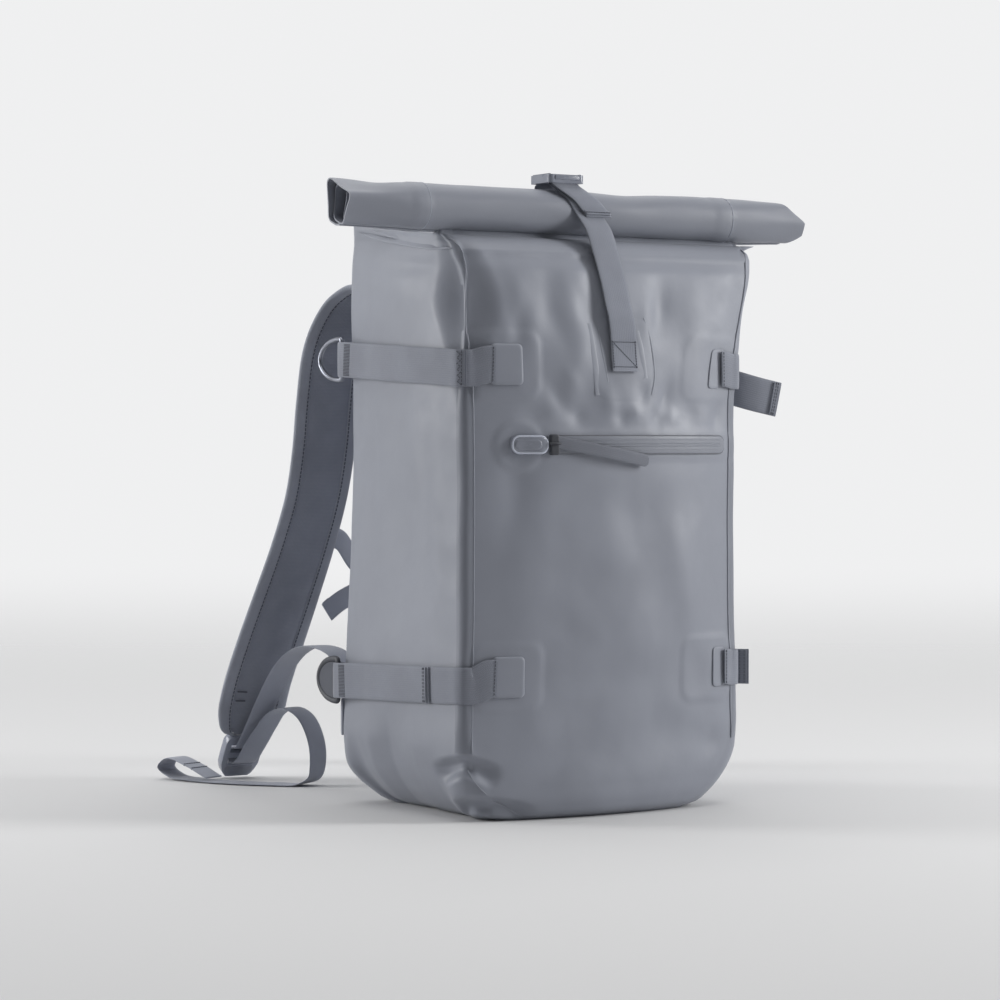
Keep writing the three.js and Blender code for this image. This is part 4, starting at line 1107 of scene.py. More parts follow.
@surface(Specular_IOR_Level=0.42, Sheen_Weight=0.12, Sheen_Roughness=0.6)
def coated_cloth(tree, colour, rough=0.46):
    """Coated cloth: satin film over a fine weave, slightly uneven in colour and gloss."""
    at = object_coords(tree)
    base = clouded(tree, noise_at(tree, at, 7.0, 4.0, 0.55), colour, 0.94, 1.06)
    # Painted highlight: sharp convex edges are lightened towards 1.35 times the colour, as if they caught the
    # light.
    painted_edge_highlight = node(tree, "ShaderNodeNewGeometry").outputs["Pointiness"]
    base = blended(tree, ranged(tree, painted_edge_highlight, 0.52, 0.62, 0, 0.35), base, tinted(colour, 1.35))
    gloss = noise_at(tree, at, 38.0, 3.0, 0.6)
    weave = math_node(tree, "MULTIPLY", waves(tree, at, 330.0, "Z"), waves(tree, at, 330.0, "DIAGONAL"))
    normal = bumped(tree, weave, 0.00004, 0.5)
    normal = bumped(tree, noise_at(tree, at, 120.0, 3.0, 0.6), 0.0003, 0.35, normal)
    roughness = spread(tree, gloss, rough - 0.05, rough + 0.06)
    return {"Base Color": base, "Roughness": roughness, "Normal": normal}


@surface(Specular_IOR_Level=0.3, Sheen_Weight=0.25, Sheen_Roughness=0.5)
def woven_webbing(tree, colour, row=1.9, edge=0.0):
    """Ribbed webbing: crosswise picks that shift from one lengthwise row to the next.

    Where edge is given, a painted shadow line darkens the rim from that far out from the middle, on both
    faces.
    """
    across, along = uv_coords(tree)
    at = object_coords(tree)
    row_place = math_node(tree, "DIVIDE", across, row * MM)
    shift = math_node(tree, "MULTIPLY", math_node(tree, "FLOOR", row_place), 0.5)
    pick = math_node(tree, "ADD", math_node(tree, "DIVIDE", along, WEBBING["pick"] * MM), shift)
    picks, rows = (
        math_node(tree, "ABSOLUTE", math_node(tree, "SINE", math_node(tree, "MULTIPLY", place, math.pi)))
        for place in (pick, row_place)
    )
    height = math_node(
        tree, "ADD", math_node(tree, "MULTIPLY", picks, 0.55), math_node(tree, "MULTIPLY", rows, 0.45),
    )
    base = clouded(tree, noise_at(tree, at, 26.0, 3.0), colour, 0.92, 1.07)
    # Painted shade: the hollows between picks and rows are darkened towards 0.66 of the colour.
    base = blended(tree, ranged(tree, height, 0.2, 0.8, 0.3, 0), base, tinted(colour, 0.66))
    # Painted shadow: a dark line along both edges, where the strap stands off the bag.
    if edge:
        faces = math_node(tree, "ROUND", math_node(tree, "DIVIDE", across, OTHER_FACE))
        middle = math_node(tree, "MULTIPLY", faces, OTHER_FACE)
        off = math_node(tree, "ABSOLUTE", math_node(tree, "SUBTRACT", across, middle))
        rim = ranged(tree, off, edge * MM, (edge + 0.7) * MM, 0, 0.75)
        base = blended(tree, rim, base, tinted(colour, 0.3))
    fuzz = noise_at(tree, at, 700.0, 2.0)
    normal = bumped(tree, height, 0.0002, 0.6)
    normal = bumped(tree, fuzz, 0.0002, 0.3, normal)
    return {"Base Color": base, "Roughness": spread(tree, fuzz, 0.62, 0.8), "Normal": normal}


@surface(Specular_IOR_Level=0.22, Sheen_Weight=0.35, Sheen_Roughness=0.45)
def padded_cloth(tree, colour, pitch=1.3):
    """Close matte cloth over foam, with a fine basket weave and a little lint."""
    at = object_coords(tree)
    scale = 0.314 / (pitch * MM)  # the wave texture's scale for one band in each pitch
    weave = math_node(tree, "MULTIPLY", waves(tree, at, scale, "X"), waves(tree, at, scale, "Z"))
    base = clouded(tree, noise_at(tree, at, 18.0, 4.0, 0.6), colour, 0.86, 1.14)
    # Painted shade: the weave's hollows are darkened towards 0.6 of the colour.
    base = blended(tree, ranged(tree, weave, 0.1, 0.7, 0.35, 0), base, tinted(colour, 0.6))
    lint = noise_at(tree, at, 420.0, 3.0, 0.65)
    normal = bumped(tree, weave, 0.00028, 0.7)
    normal = bumped(tree, lint, 0.00025, 0.4, normal)
    return {"Base Color": base, "Roughness": spread(tree, lint, 0.72, 0.9), "Normal": normal}


@surface(Specular_IOR_Level=0.5)
def moulded_plastic(tree, colour, rough=0.24):
    """Satin moulded plastic with a fine spark-eroded grain and painted highlights on its sharp edges."""
    at = object_coords(tree)
    cloud = noise_at(tree, at, 60.0, 3.0)
    base = clouded(tree, cloud, colour, 0.9, 1.1)
    # Painted highlight: sharp convex edges are lightened towards 1.7 times the colour.
    painted_edge_highlight = node(tree, "ShaderNodeNewGeometry").outputs["Pointiness"]
    base = blended(tree, ranged(tree, painted_edge_highlight, 0.53, 0.66, 0, 0.5), base, tinted(colour, 1.7))
    normal = bumped(tree, noise_at(tree, at, 1600.0, 2.0), 0.00006, 0.5)
    roughness = spread(tree, cloud, rough - 0.05, rough + 0.08)
    return {"Base Color": base, "Roughness": roughness, "Normal": normal}


@surface(Metallic=1.0)
def plated_wire(tree, colour):
    """Dull plated wire with fine drawing marks."""
    drawn = node(tree, "ShaderNodeMapping", {"Vector": object_coords(tree), "Scale": (900, 60, 60)})
    marks = noise_at(tree, drawn.outputs["Vector"], 1.0, 3.0)
    return {
        "Base Color": clouded(tree, marks, colour, 0.85, 1.08),
        "Roughness": spread(tree, marks, 0.26, 0.42),
        "Normal": bumped(tree, marks, 0.00003, 0.5),
    }


@surface(Specular_IOR_Level=0.25)
def sewing_thread(tree, colour):
    """Twisted thread."""
    twist = waves(tree, object_coords(tree), 700.0, "DIAGONAL")
    # Painted shade and highlight: the twist's bands run from 0.75 to 1.15 times the colour, darker in its
    # grooves.
    return {
        "Base Color": blended(tree, twist, tinted(colour, 0.75), tinted(colour, 1.15)),
        "Roughness": ranged(tree, twist, 0, 1, 0.7, 0.85),
        "Normal": bumped(tree, twist, 0.0001, 0.6),
    }


@surface(Roughness=0.9, Specular_IOR_Level=0.1)
def studio_paper(tree, colour):
    """Plain paper that fades out with the distance from the camera's stand, and all round the object."""
    at = object_coords(tree)
    away = vector_math(tree, "DOT_PRODUCT", at, AWAY)
    around = math_node(tree, "SUBTRACT", vector_math(tree, "LENGTH", at), FLOOR_FADE["kept"])
    distance = math_node(tree, "ADD", math_node(tree, "MAXIMUM", away, around), FLOOR_FADE["stand"])
    near = math_node(tree, "DIVIDE", 1.0, distance)
    return {
        "Base Color": blended(tree, noise_at(tree, at, 3.0, 2.0), tinted(colour, 0.995), tinted(colour, 1.0)),
        "Alpha": ranged(tree, near, FLOOR_FADE["gone"], FLOOR_FADE["full"], 0.0, 1.0, "SMOOTHSTEP"),
    }


# Settings


def colour_property(name, description, default):
    return bpy.props.FloatVectorProperty(
        name=name, description=description, default=default, size=3, subtype="COLOR", min=0.0, max=1.0,
    )


class BackpackSettings(bpy.types.PropertyGroup):
    """Colours, camera and light of the backpack scene."""

    coated: colour_property("Coated cloth", "Colour of the bag's coated cloth", (0.26, 0.276, 0.324))
    # The seam tape is given a darker colour than the coated cloth: painted shade along the front corners.
    tape: colour_property("Seam tape", "Colour of the welded seam tape", (0.21, 0.224, 0.265))
    webbing: colour_property("Webbing", "Colour of the straps", (0.235, 0.25, 0.296))
    padding: colour_property("Padding", "Colour of the padded shoulder straps", (0.27, 0.288, 0.345))
    binding: colour_property("Binding", "Colour of the straps' bound edges", (0.345, 0.365, 0.425))
    plastic: colour_property("Plastic", "Colour of buckles and loops", (0.18, 0.192, 0.23))
    metal: colour_property("Metal", "Colour of the wire rings", (0.3, 0.315, 0.36))
    thread: colour_property("Thread", "Colour of the stitching", (0.105, 0.112, 0.136))
    floor: colour_property("Floor", "Colour of the studio floor", (0.68, 0.68, 0.683))
    lens: bpy.props.FloatProperty(
        name="Lens", description="Camera's focal length", default=110.8, min=20.0, max=300.0,
        subtype="DISTANCE_CAMERA",
    )
    camera_place: bpy.props.FloatVectorProperty(
        name="Camera", description="Where the camera stands", default=(-1.5304, -2.3566, 0.328),
        size=3, subtype="TRANSLATION", unit="LENGTH",
    )
    camera_target: bpy.props.FloatVectorProperty(
        name="Target", description="Point that the camera looks at", default=(-0.032, 0.021, 0.277),
        size=3, subtype="TRANSLATION", unit="LENGTH",
    )
    light: bpy.props.FloatProperty(
        name="Light", description="Power that the soft boxes share out", default=10.0, min=0.0, unit="POWER",
    )
    sky: bpy.props.FloatProperty(
        name="Fill", description="Strength of the even fill light", default=0.1, min=0.0, max=5.0,
        subtype="FACTOR",
    )


def settings():
    return bpy.context.scene.backpack


def coated():
    return coated_cloth("coated_cloth", settings().coated)


def webbing():
    return woven_webbing("woven_webbing", settings().webbing)


def light_webbing():
    return woven_webbing("light_webbing", tinted(settings().webbing, 1.4), 1.6)


def plastic():
    return moulded_plastic("glossy_plastic", settings().plastic)


def metal():
    return plated_wire("plated_wire", settings().metal)


def thread():
    return sewing_thread("sewing_thread", settings().thread)


# Stage


def aimed(obj, place, target):
    obj.location = place
    obj.rotation_euler = (Vector(target) - Vector(place)).to_track_quat("-Z", "Y").to_euler()


def soft_box(name, place, target, size, power):
    light = bpy.data.lights.new(name, "AREA")
    light.shape = "RECTANGLE"
    light.size, light.size_y = size
    light.energy = power
    obj = bpy.data.objects.new(name, light)
    bpy.context.scene.collection.objects.link(obj)
    aimed(obj, place, target)


def build_stage():
    scene = bpy.context.scene
    chosen = settings()
    camera = bpy.data.cameras.new("camera")
    camera.lens = chosen.lens
    camera.sensor_width = 36.0
    camera.clip_end = 60.0
    camera_object = bpy.data.objects.new("camera", camera)
    scene.collection.objects.link(camera_object)
    aimed(camera_object, chosen.camera_place, chosen.camera_target)
    scene.camera = camera_object

    build_floor()
    light_studio()


def build_floor():
    """A flat paper floor that fades into the backdrop far from the object."""
    bm = bmesh.new()
    bmesh.ops.create_circle(bm, cap_ends=True, segments=96, radius=FLOOR_REACH)
    mesh = bpy.data.meshes.new("studio_floor")
    bm.to_mesh(mesh)
    bm.free()
    floor = bpy.data.objects.new("studio_floor", mesh)
    bpy.context.scene.collection.objects.link(floor)
    mesh.materials.append(studio_paper("studio_paper", settings().floor))


def light_studio():
    """Soft boxes, and a world that lights the object from behind more than from the front."""
    scene = bpy.context.scene
    chosen = settings()
    for box in SOFT_BOXES:
        soft_box(box.name, box.place, box.target, box.size, box.share * chosen.light)
    world = bpy.data.worlds.new("studio")
    scene.world = world
    world.use_nodes = True
    tree = world.node_tree
    facing = node(tree, "ShaderNodeTexCoord").outputs["Generated"]
    level = None
    for lobe in WORLD_LOBES:
        toward = vector_math(tree, "DOT_PRODUCT", facing, lobe.toward)
        glow = ranged(tree, toward, lobe.start, lobe.full, 0.0, lobe.gain, "SMOOTHSTEP")
        level = glow if level is None else math_node(tree, "ADD", level, glow)
    background = tree.nodes["Background"]
    background.inputs["Color"].default_value = BACKDROP_COLOUR
    seen = node(tree, "ShaderNodeLightPath").outputs["Is Camera Ray"]
    lit = math_node(tree, "ADD", level, chosen.sky)
    strength = math_node(tree, "MAXIMUM", lit, math_node(tree, "MULTIPLY", seen, BACKDROP))
    tree.links.new(strength, background.inputs["Strength"])
    scene.view_settings.view_transform = "Standard"


# Cords


def adjuster_frames():
    def across_at(place):
        k = min(int(place), len(ADJUSTER_ROUTE) - 2)
        turn = math.radians(lerp(ADJUSTER_ROUTE[k].turn, ADJUSTER_ROUTE[k + 1].turn, place - k))
        return (math.cos(turn), math.sin(turn), 0)

    return strap_frames(ADJUSTER_ROUTE, across_at, step=2.0)


def build_cords():
    frames = adjuster_frames()
    for name, side in (("left", LEFT), ("right", RIGHT)):
        parts = [(ribbon(frames, ADJUSTER["width"], ADJUSTER["thick"]), 0)]
        for from_end in ADJUSTER["sewn"]:
            here = cut(frames, -from_end, 2.5 - from_end)[0]
            for face in (1, -1):
                bar = [here.middle + here.across * s + here.off * face * 0.9 for s in (-10, -5, 0, 5, 10)]
                parts.append((stitches(bar, [here.off * face] * len(bar)), 1))
        bm = joined(parts)
        if side == RIGHT:
            bm = mirrored(bm)
        materials = [light_webbing(), thread()]
        obj = piece(f"adjuster_webbing_{name}", bm, materials, [f"adjuster_{name}"])
        path = [(-side * at.middle.x * MM, at.middle.y * MM, at.middle.z * MM) for at in frames]
        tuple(path[0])
    tail = strap_frames(STERNUM_TAIL_ROUTE, upright, step=2.0)
    hem = lifted(cut(tail, -STERNUM["hem"], -0.5), STERNUM["thick"])
    bm = joined([(ribbon(layer, STERNUM["width"], STERNUM["thick"]), 0) for layer in (tail, hem)])
    obj = piece("chest_strap_tail", bm, [light_webbing()], ["sternum_tail"])


# Bag and roll


def build_body():
    heights = list(BASE_ROWS)
    for rows in PUCKER_ROWS:
        heights += spaced(heights[-1], rows.to_z, rows.count)[1:]
    heights += spaced(heights[-1], SHOULDER_Z, WALL_ROWS)[1:]
    shares = spaced(0, 1, ROOF_ROWS)[1:]
    rings = [[bag_wall(station, z) for station in STATIONS] for z in heights]
    rings += [[bag_roof(station, t) for station in STATIONS] for t in shares]
    rings.append([bag_roof(station, 1) + Vector((0, 0, NECK_LIP)) for station in STATIONS])
    rings += [[wall_point(station, z, -INNER_WALL) for station in STATIONS] for z in INNER_ROWS]
    # The neck's last ring is drawn in to the slit's inner lips.
    lip = rings[len(heights) + len(shares)]
    for point in lip:
        point.x *= LIP_NARROWED[0]
        point.y = ROLL["y"] + (point.y - ROLL["y"]) * LIP_NARROWED[1]
    bm = closed(lofted(len(STATIONS), len(rings) - 1, lambda k, j: rings[j][k]))
    parts = [(bm, 0), *((flap, 0) for flap in gusset_flaps())]
    piece("bag_body", joined(parts), [coated()], ["body_shell"], sharp=70)
    for name, side in (("left", LEFT), ("right", RIGHT)):
        build_tape(name, side)


def gusset_flaps():
    """The neck's cloth is folded over along the left shoulder, and stands out as a small ear on the right."""
    flaps = []
    flap = SHOULDER_FLAP
    for row in SHOULDER_FLAPS:
        points = []
        for y in spaced(row.back, row.front, 12):
            out = lerp(row.out, flap["back_out"], smoothstep(y, -30, 40))
            point = side_point(LEFT, y, SHOULDER_Z, out)
            point.z += flap["rise_share"] * shoulder_rise(SHOULDER, y) + row.lift
            points.append(point)
        frames = strap_frames(points, lambda place: (0.5, 0, 1), step=3.0)
        total = frames[-1].along
        flaps.append(ribbon(
            frames, flap["width"], flap["thick"], 8,
            lambda at: smoothstep(at.along, -2, 36) * smoothstep(total - at.along, -4, 24),
        ))
    frames = strap_frames(RIGHT_EAR_ROUTE, lambda place: (0, 0.25, 1), step=2.0)
    length = frames[-1].along
    flaps.append(ribbon(
        frames, RIGHT_EAR["width"], RIGHT_EAR["thick"], 8, lambda at: smoothstep(length - at.along, -4, 26),
    ))
    return flaps


def build_tape(name, side):
    heights = spaced(TAPE["from_z"], TAPE["to_z"], 120)
    places = [-1, -0.92, *spaced(-0.8, 0.8, 8), 0.92, 1]
    faces = (0.1, TAPE["thick"])

    def tape_point(z, share, out):
        """A point of the tape by its share across, from the side's edge (-1) to the front's (1)."""
        section = section_at(z)
        radius = section.front_corner
        reach = share * TAPE["half"]
        arc = radius * math.pi / 4
        if reach < -arc:
            return side_point(side, section.front + radius - reach - arc, z, out)
        if reach > arc:
            return front_point(side * (section.half - radius - reach + arc), z, out)
        return corner_point(side, math.pi / 4 - reach / radius, z, out)

    count = len(places)
    around = 2 * count - 2

    def place(k, j):
        z = heights[clamp(j - 1, 0, len(heights) - 1)]
        k %= around
        index, face = (k, 1) if k < count else (around - k, 0)
        edge = index in (0, count - 1)
        end = j in (0, len(heights) + 1)
        top = lerp(faces[0], faces[1], smoothstep(z, TAPE["from_z"], TAPE["from_z"] + TAPE["rise"]))
        out = faces[0] if edge or end or face == 0 else top
        return tape_point(z, places[index], out)

    bm = outward(lofted(around, len(heights) + 1, place))
    # Painted shade: the tape is darker than the bag's cloth, for the shade along the corner seams.
    tape = coated_cloth("tape_film", settings().tape, rough=0.5)
    bead = []
    for z in spaced(TAPE["from_z"], SHOULDER_Z - 2, 150):
        point = tape_point(z, 1, 0.35)
        point.z += smoothstep(z, SHOULDER_TILT_FROM, SHOULDER_Z) * shoulder_rise(section_at(z), point.y)
        bead.append(point)
    station = next(k for k in STATIONS if k[0] == ("front_corner", side) and 0.2 < k[1] < 0.5)
    bead += [bag_roof(station, t) + Vector((0, -0.3, 0.3)) for t in (0.18, 0.34, 0.5)]
    parts = [(bm, 0), (tube(smooth_points(bead, 3), 0.7, 6), 1)]
    if side == LEFT:
        line = [corner_point(side, angle, z, 0.1) for angle, z in SEAM_CORNER]
        line += [front_point(x, z, 0.1) for x, z in SEAM_FRONT]
        parts.append((tube(smooth_points(line, 2.5), 0.5, 6), 1))
    bm = joined(parts)
    piece(f"seam_tape_piece_{name}", bm, [tape, coated()], [f"seam_tape_{name}"])


def polygon_reach(corners, angle):
    """Distance from the middle to a polygon's edge in a direction."""
    direction = Vector((math.cos(angle), math.sin(angle)))
    best = 0.0
    for (ay, az), (by, bz) in zip(corners, corners[1:] + corners[:1]):
        ey, ez = by - ay, bz - az
        under = direction.x * ez - direction.y * ey
        if abs(under) < 1e-9:
            continue
        reach = (ay * ez - az * ey) / under
        share = (ay * direction.y - az * direction.x) / under
        if reach > 0 and -1e-6 <= share <= 1 + 1e-6:
            best = max(best, reach)
    return best


def roll_reach(x, angle, wound):
    """The roll's outer radius at a place along it and an angle from the back, for a layer some turns in."""
    power = ROLL_BOXINESS
    round_reach = (
        abs(math.cos(angle) / ROLL["depth"]) ** power + abs(math.sin(angle) / ROLL["height"]) ** power
    ) ** (-1 / power)
    side, end = (LEFT, ROLL_LEFT_END) if x < ROLL_CHANGE_X else (RIGHT, ROLL_RIGHT_END)
    share = ROLL_FLAT + end["share"] * smoothstep(side * x, end["from_x"], end["to_x"])
    share *= 1 - 0.45 * smoothstep(wound, 0.85, 1.25) * smoothstep(abs(x), 150, 240)
    share *= smoothstep(abs(x - ROLL_CHANGE_X), 0, 60) * 0.9 + 0.1
    flat_reach = sum(polygon_reach(end["corners"], angle + turn) for turn in ROLL_BLUNT) / len(ROLL_BLUNT)
    return lerp(round_reach, flat_reach, share)


def roll_point(x, wound, out):
    angle = math.pi * (2 * wound - 0.5)
    reach = roll_reach(x, angle, wound) - ROLL["pitch"] * wound + out - 1.8 * smoothstep(-wound, -0.06, 0)
    if wound < 1:
        reach += 0.5 * max(
            smoothstep(x, a - 1, a + 1) * smoothstep(-x, -b - 1, -b + 1) for a, b in ROLL_BANDS
        )
        reach += 0.5 * noise.noise((x / 40, math.cos(angle) * 1.4, math.sin(angle) * 1.4))
    y = ROLL["y"] + reach * math.cos(angle) * lerp(1, 0.3, smoothstep(wound, 1.8, 2.5))
    rise = reach * math.sin(angle)
    fall = sum(dip.fall * math.exp(-((x - dip.x) / dip.wide) ** 2) for dip in ROLL_DIPS)
    if rise > 0:
        rise -= fall * rise / ROLL["height"]
    rise = max(rise, -ROLL["height"])
    return Vector((x, y, ROLL["z"] + rise))


def build_roll():
    places = spaced(-1, 1, 124)
    winding = spaced(0, ROLL["turns"], 210)
    turns = len(winding)
    around = 2 * turns

    def place(k, j):
        k %= around
        index, face = (k, 0) if k < turns else (around - 1 - k, 1)
        wound = winding[index]
        end = j in (0, len(places) + 1)
        share = places[clamp(j - 1, 0, len(places) - 1)]
        lip = 1.5 * smoothstep(wound, 0.2, 0.45) * smoothstep(-wound, -0.72, -0.5)
        up = -math.cos(2 * math.pi * wound)
        trim = ROLL_RIGHT_CUT[0] * max(up, 0) + ROLL_RIGHT_CUT[1] * smoothstep(-up, 0.6, 1.0)
        inset = 5 * smoothstep(wound, 0.95, 1.3) + 5 * smoothstep(wound, 1.9, 2.3)
        half_length = ROLL_HALF_LENGTH - inset + (lip if share < 0 else -trim)
        out = -ROLL["sheet"] / 2 if end else (0 if face == 0 else -ROLL["sheet"])
        return roll_point(share * half_length, wound, out)

    parts = [(outward(lofted(around, len(places) + 1, place)), 0)]
    for _, right_edge in ROLL_BANDS:
        bead = [roll_point(right_edge, wound, 0.05) for wound in spaced(0.3, 0.98, 60)]
        parts.append((tube(bead, 0.35, 6), 1))
    bm = joined(parts)
    # Painted shade: the roll is the bag's cloth darkened to 0.9 of its colour.
    cloth = coated_cloth("rolled_cloth", tinted(settings().coated, 0.9))
    # Painted highlight: the weld beads along the roll's bands are the cloth lightened 1.5 times.
    weld = coated_cloth("weld_line", tinted(settings().coated, 1.5))
    obj = piece("rolled_neck", bm, [cloth, weld], ["roll_top"], sharp=50)
    wound_length = sum(
        (roll_point(0, b, 0) - roll_point(0, a, 0)).length for a, b in zip(winding, winding[1:])
    )


# Compression straps


def strap_height(strap, y):
    return lerp(strap.corner_z, strap.ring_z, (y - CORNER_Y) / (STRAP_END_Y - CORNER_Y))


def over_tape(y):
    return SEAT + (TAPE["thick"] + PLAY) * smoothstep(-y, 46, 70)


def ring_axis(strap):
    rest = SEAT + WEBBING["thick"] + PLAY + strap.wire
    height = strap_height(strap, strap.ring_y)
    return Vector((side_point(strap.side, 86, height, rest, False).x, strap.ring_y, height))


def under_points(strap):
    half = WEBBING["thick"] / 2 + 0.35
    side = strap.side
    points = []
    for x in spaced(strap.outer - 2.5, 136, 3):
        z = lerp(strap.pad_z, strap.corner_z, smoothstep(x, strap.outer + 3, 136))
        lift = lerp(PAD["thick"] + 0.4, over_tape(CORNER_Y), smoothstep(x, strap.outer, 134))
        points.append(front_point(side * x, z, lift + half, False))
    height = strap_height(strap, CORNER_Y)
    for angle in (0.25, 0.8, 1.35):
        points.append(corner_point(side, angle, height, over_tape(CORNER_Y) + half, False))
    for y in (-84, -70, -50, -30, -10, 10, 30, 50, 70, 84):
        points.append(side_point(side, y, strap_height(strap, y), over_tape(y) + half, False))
    return points


def fold_points(strap):
    axis = ring_axis(strap)
    reach = strap.wire + PLAY + WEBBING["thick"] / 2
    return [
        Vector((axis.x + strap.side * reach * math.sin(a), axis.y + reach * math.cos(a), axis.z))
        for a in spaced(-math.pi / 2, math.pi / 2, 6)
    ]


def top_points(strap):
    side = strap.side
    half = WEBBING["thick"] / 2 + 0.35
    rest = WEBBING["thick"] + PLAY
    lifted_rest = rest + 2 * strap.wire + PLAY

    def at(y, off):
        return side_point(side, y, strap_height(strap, y), off + over_tape(y) + half, False)

    points = [at(strap.ring_y - row.back, lerp(rest, lifted_rest, row.lift)) for row in LANDING]
    if strap.tail == "side":
        return points + [at(y, rest) for y in (40, 10, -20, -40, -56)]
    if strap.tail == "corner":
        points += [at(y, rest) for y in (40, 10, -20, -50, -70, -84)]
        height = strap_height(strap, CORNER_Y)
        lift = rest + over_tape(CORNER_Y) + half
        return points + [corner_point(side, a, height, lift, False) for a in (1.35, 0.9, 0.45)]
    return points + [at(y, rest) for y in (40, 10, -20, -40)] + [Vector(p) for p in LOOSE_TAILS[strap.tail]]


def sewn_row(at, sign, half, zigzag):
    """A row of stitches across a strap; zigzag is how far it swings along the strap."""
    along = at.across.cross(at.off)
    row = [
        at.middle + at.across * s + along * zigzag * (-1) ** k + at.off * sign * 0.95
        for k, s in enumerate(spaced(-half, half, 11))
    ]
    return stitches(row, [at.off * sign] * len(row), 3.0, 2.1, 0.3)


def bar_tack(at, sign, half):
    """The close bars of thread that hold a strap's fold round a ring."""
    along = at.across.cross(at.off) * TACK["half"]
    for s in spaced(-half, half, TACK["bars"]):
        middle = at.middle + at.across * s + at.off * sign * (WEBBING["thick"] / 2 + 0.1)
        yield tube([middle - along, middle, middle + along], TACK["radius"], 6)


def strap_mesh(strap):
    points = [*under_points(strap), *fold_points(strap), *top_points(strap)]
    frames = strap_frames(points, upright, step=2.0)
    half = WEBBING["width"] / 2 - 2
    parts = [(ribbon(frames, WEBBING["width"], WEBBING["thick"], 12), 0)]
    hem = cut(frames, -WEBBING["hem"], -0.1)
    if strap.tail in LOOSE_TAILS:
        signs = (1, -1)
    else:
        signs = (1 if hem[0].off.x * strap.side > 0 or hem[0].off.y < 0 else -1,)
    for sign in signs:
        raised = lifted(hem, sign * WEBBING["thick"] * 1.05)
        parts.append((ribbon(raised, WEBBING["width"] - 0.6, WEBBING["thick"] * 1.2, 12), 0))
        parts.append((sewn_row(raised[1], sign, half, 1.4 if strap.tail == "corner" else 0), 1))
        parts.append((sewn_row(raised[-2], sign, half, 0), 1))
    turn = max(range(len(frames)), key=lambda k: frames[k].middle.y)
    tack = min(frames[turn:], key=lambda at: abs(at.middle.y - strap.ring_y + TACK["back"]))
    parts += [(bar, 1) for bar in bar_tack(tack, 1 if tack.off.x * strap.side > 0 else -1, half)]
    # The sewn row at the strap's start on its pad is real stitching, and it also paints the dark shadow line
    # where the webbing ends.
    start = frames[1]
    parts.append((sewn_row(start, 1 if start.off.y < 0 else -1, half, 0), 1))
    return joined(parts)


def ring_points(strap, half):
    """Points round a D-ring: its bow, and the straight bar that the strap holds."""
    axis = ring_axis(strap)
    foot, inset = RING["foot"], RING["bar_inset"]
    bow = [
        (foot + (strap.reach - foot) * math.cos(a), half * math.sin(a))
        for a in spaced(-math.pi / 2, math.pi / 2, 28)
    ]
    bar = [(0, z) for z in spaced(half - inset, inset - half, 8)]
    path = [*bow, (1.2, half - 0.4), *bar, (1.2, 0.4 - half)]
    return [Vector((axis.x, axis.y + y, axis.z + z)) for y, z in path]


def loop_web(strap, half):
    """The thin web that closes a moulded loop."""
    outline = ring_points(strap, half)
    middle = sum(outline, Vector()) / len(outline)
    rows = [(0, -1), (1, -1), (1, 1), (0, 1)]

    def place(k, j):
        share, face = rows[j]
        return middle.lerp(outline[k % len(outline)], share) + Vector((face * RING["web_half"], 0, 0))

    return outward(lofted(len(outline), len(rows) - 1, place))


def loop_plastic():
    return moulded_plastic("loop_plastic", tinted(settings().plastic, 0.3), 0.5)


def loop_face():
    return moulded_plastic("loop_face", tinted(settings().plastic, 0.46), 0.78)


def build_compression():
    for strap in COMPRESSION:
        centre = strap.side * (strap.inner + strap.outer) / 2
        profile = pad_profile(0.2, *PAD_FORMS[strap.side])
        width = strap.outer - strap.inner
        bm = pad_on(plain_front, centre, strap.pad_z, width, PAD["height"], PAD["corner"], profile)
        piece(f"welded_pad_{strap.name}", bm, [coated()], [f"anchor_pad_{strap.name}"])
        piece(
            f"side_webbing_{strap.name}", strap_mesh(strap), [webbing(), thread()],
            [f"compression_strap_{strap.name}"],
        )
        build_ring(strap)


def build_ring(strap):
    """The upper straps hold wire rings, and the lower ones moulded loops with a thin web."""
    half = WEBBING["width"] / 2 + strap.wire + RING["bar_clear"]
    wired = strap.name.startswith("upper")
    path = ring_points(strap, half)
    path = smooth_points([*path, path[0]], 1.6)[:-1]
    bm = tube(path, strap.wire, 12, close=True, flat=1.0 if wired else 0.8, normal=(1, 0, 0))
    nodes = [f"ring_{strap.name}"]
    if wired:
        piece(f"wire_ring_{strap.name}", bm, [metal()], nodes)
    else:
        bm = joined([(bm, 0), (loop_web(strap, half - strap.wire), 1)])
        piece(f"moulded_loop_{strap.name}", bm, [loop_plastic(), loop_face()], nodes)


# Closure


def closure_x(z):
    """Where the closure strap's middle lies at a height."""
    return along_run(CLOSURE_RUN, z)


def outer_roll(angle, out, x):
    wound = (angle / math.pi + 0.5) / 2
    return roll_point(x, wound, out)


def bar_fold(side, last_angle):
    """A strap's way round a bar of the buckle: the round one in front or the flat one behind."""
    y, z, bar = BUCKLE_PIN["y"], BUCKLE_PIN["z"], BUCKLE_PIN["radius"]
    if side > 0:
        y, z, bar = BUCKLE["y"] + (BUCKLE["depth"] - BUCKLE["bar"]) / 2, BUCKLE["z"], BUCKLE["thick"] / 2
    reach = bar + PLAY + CLOSURE["thick"] / 2
    angles = spaced(-math.pi / 2, last_angle, 7)
    return [(y - side * reach * math.cos(a), z + reach * math.sin(a)) for a in angles]


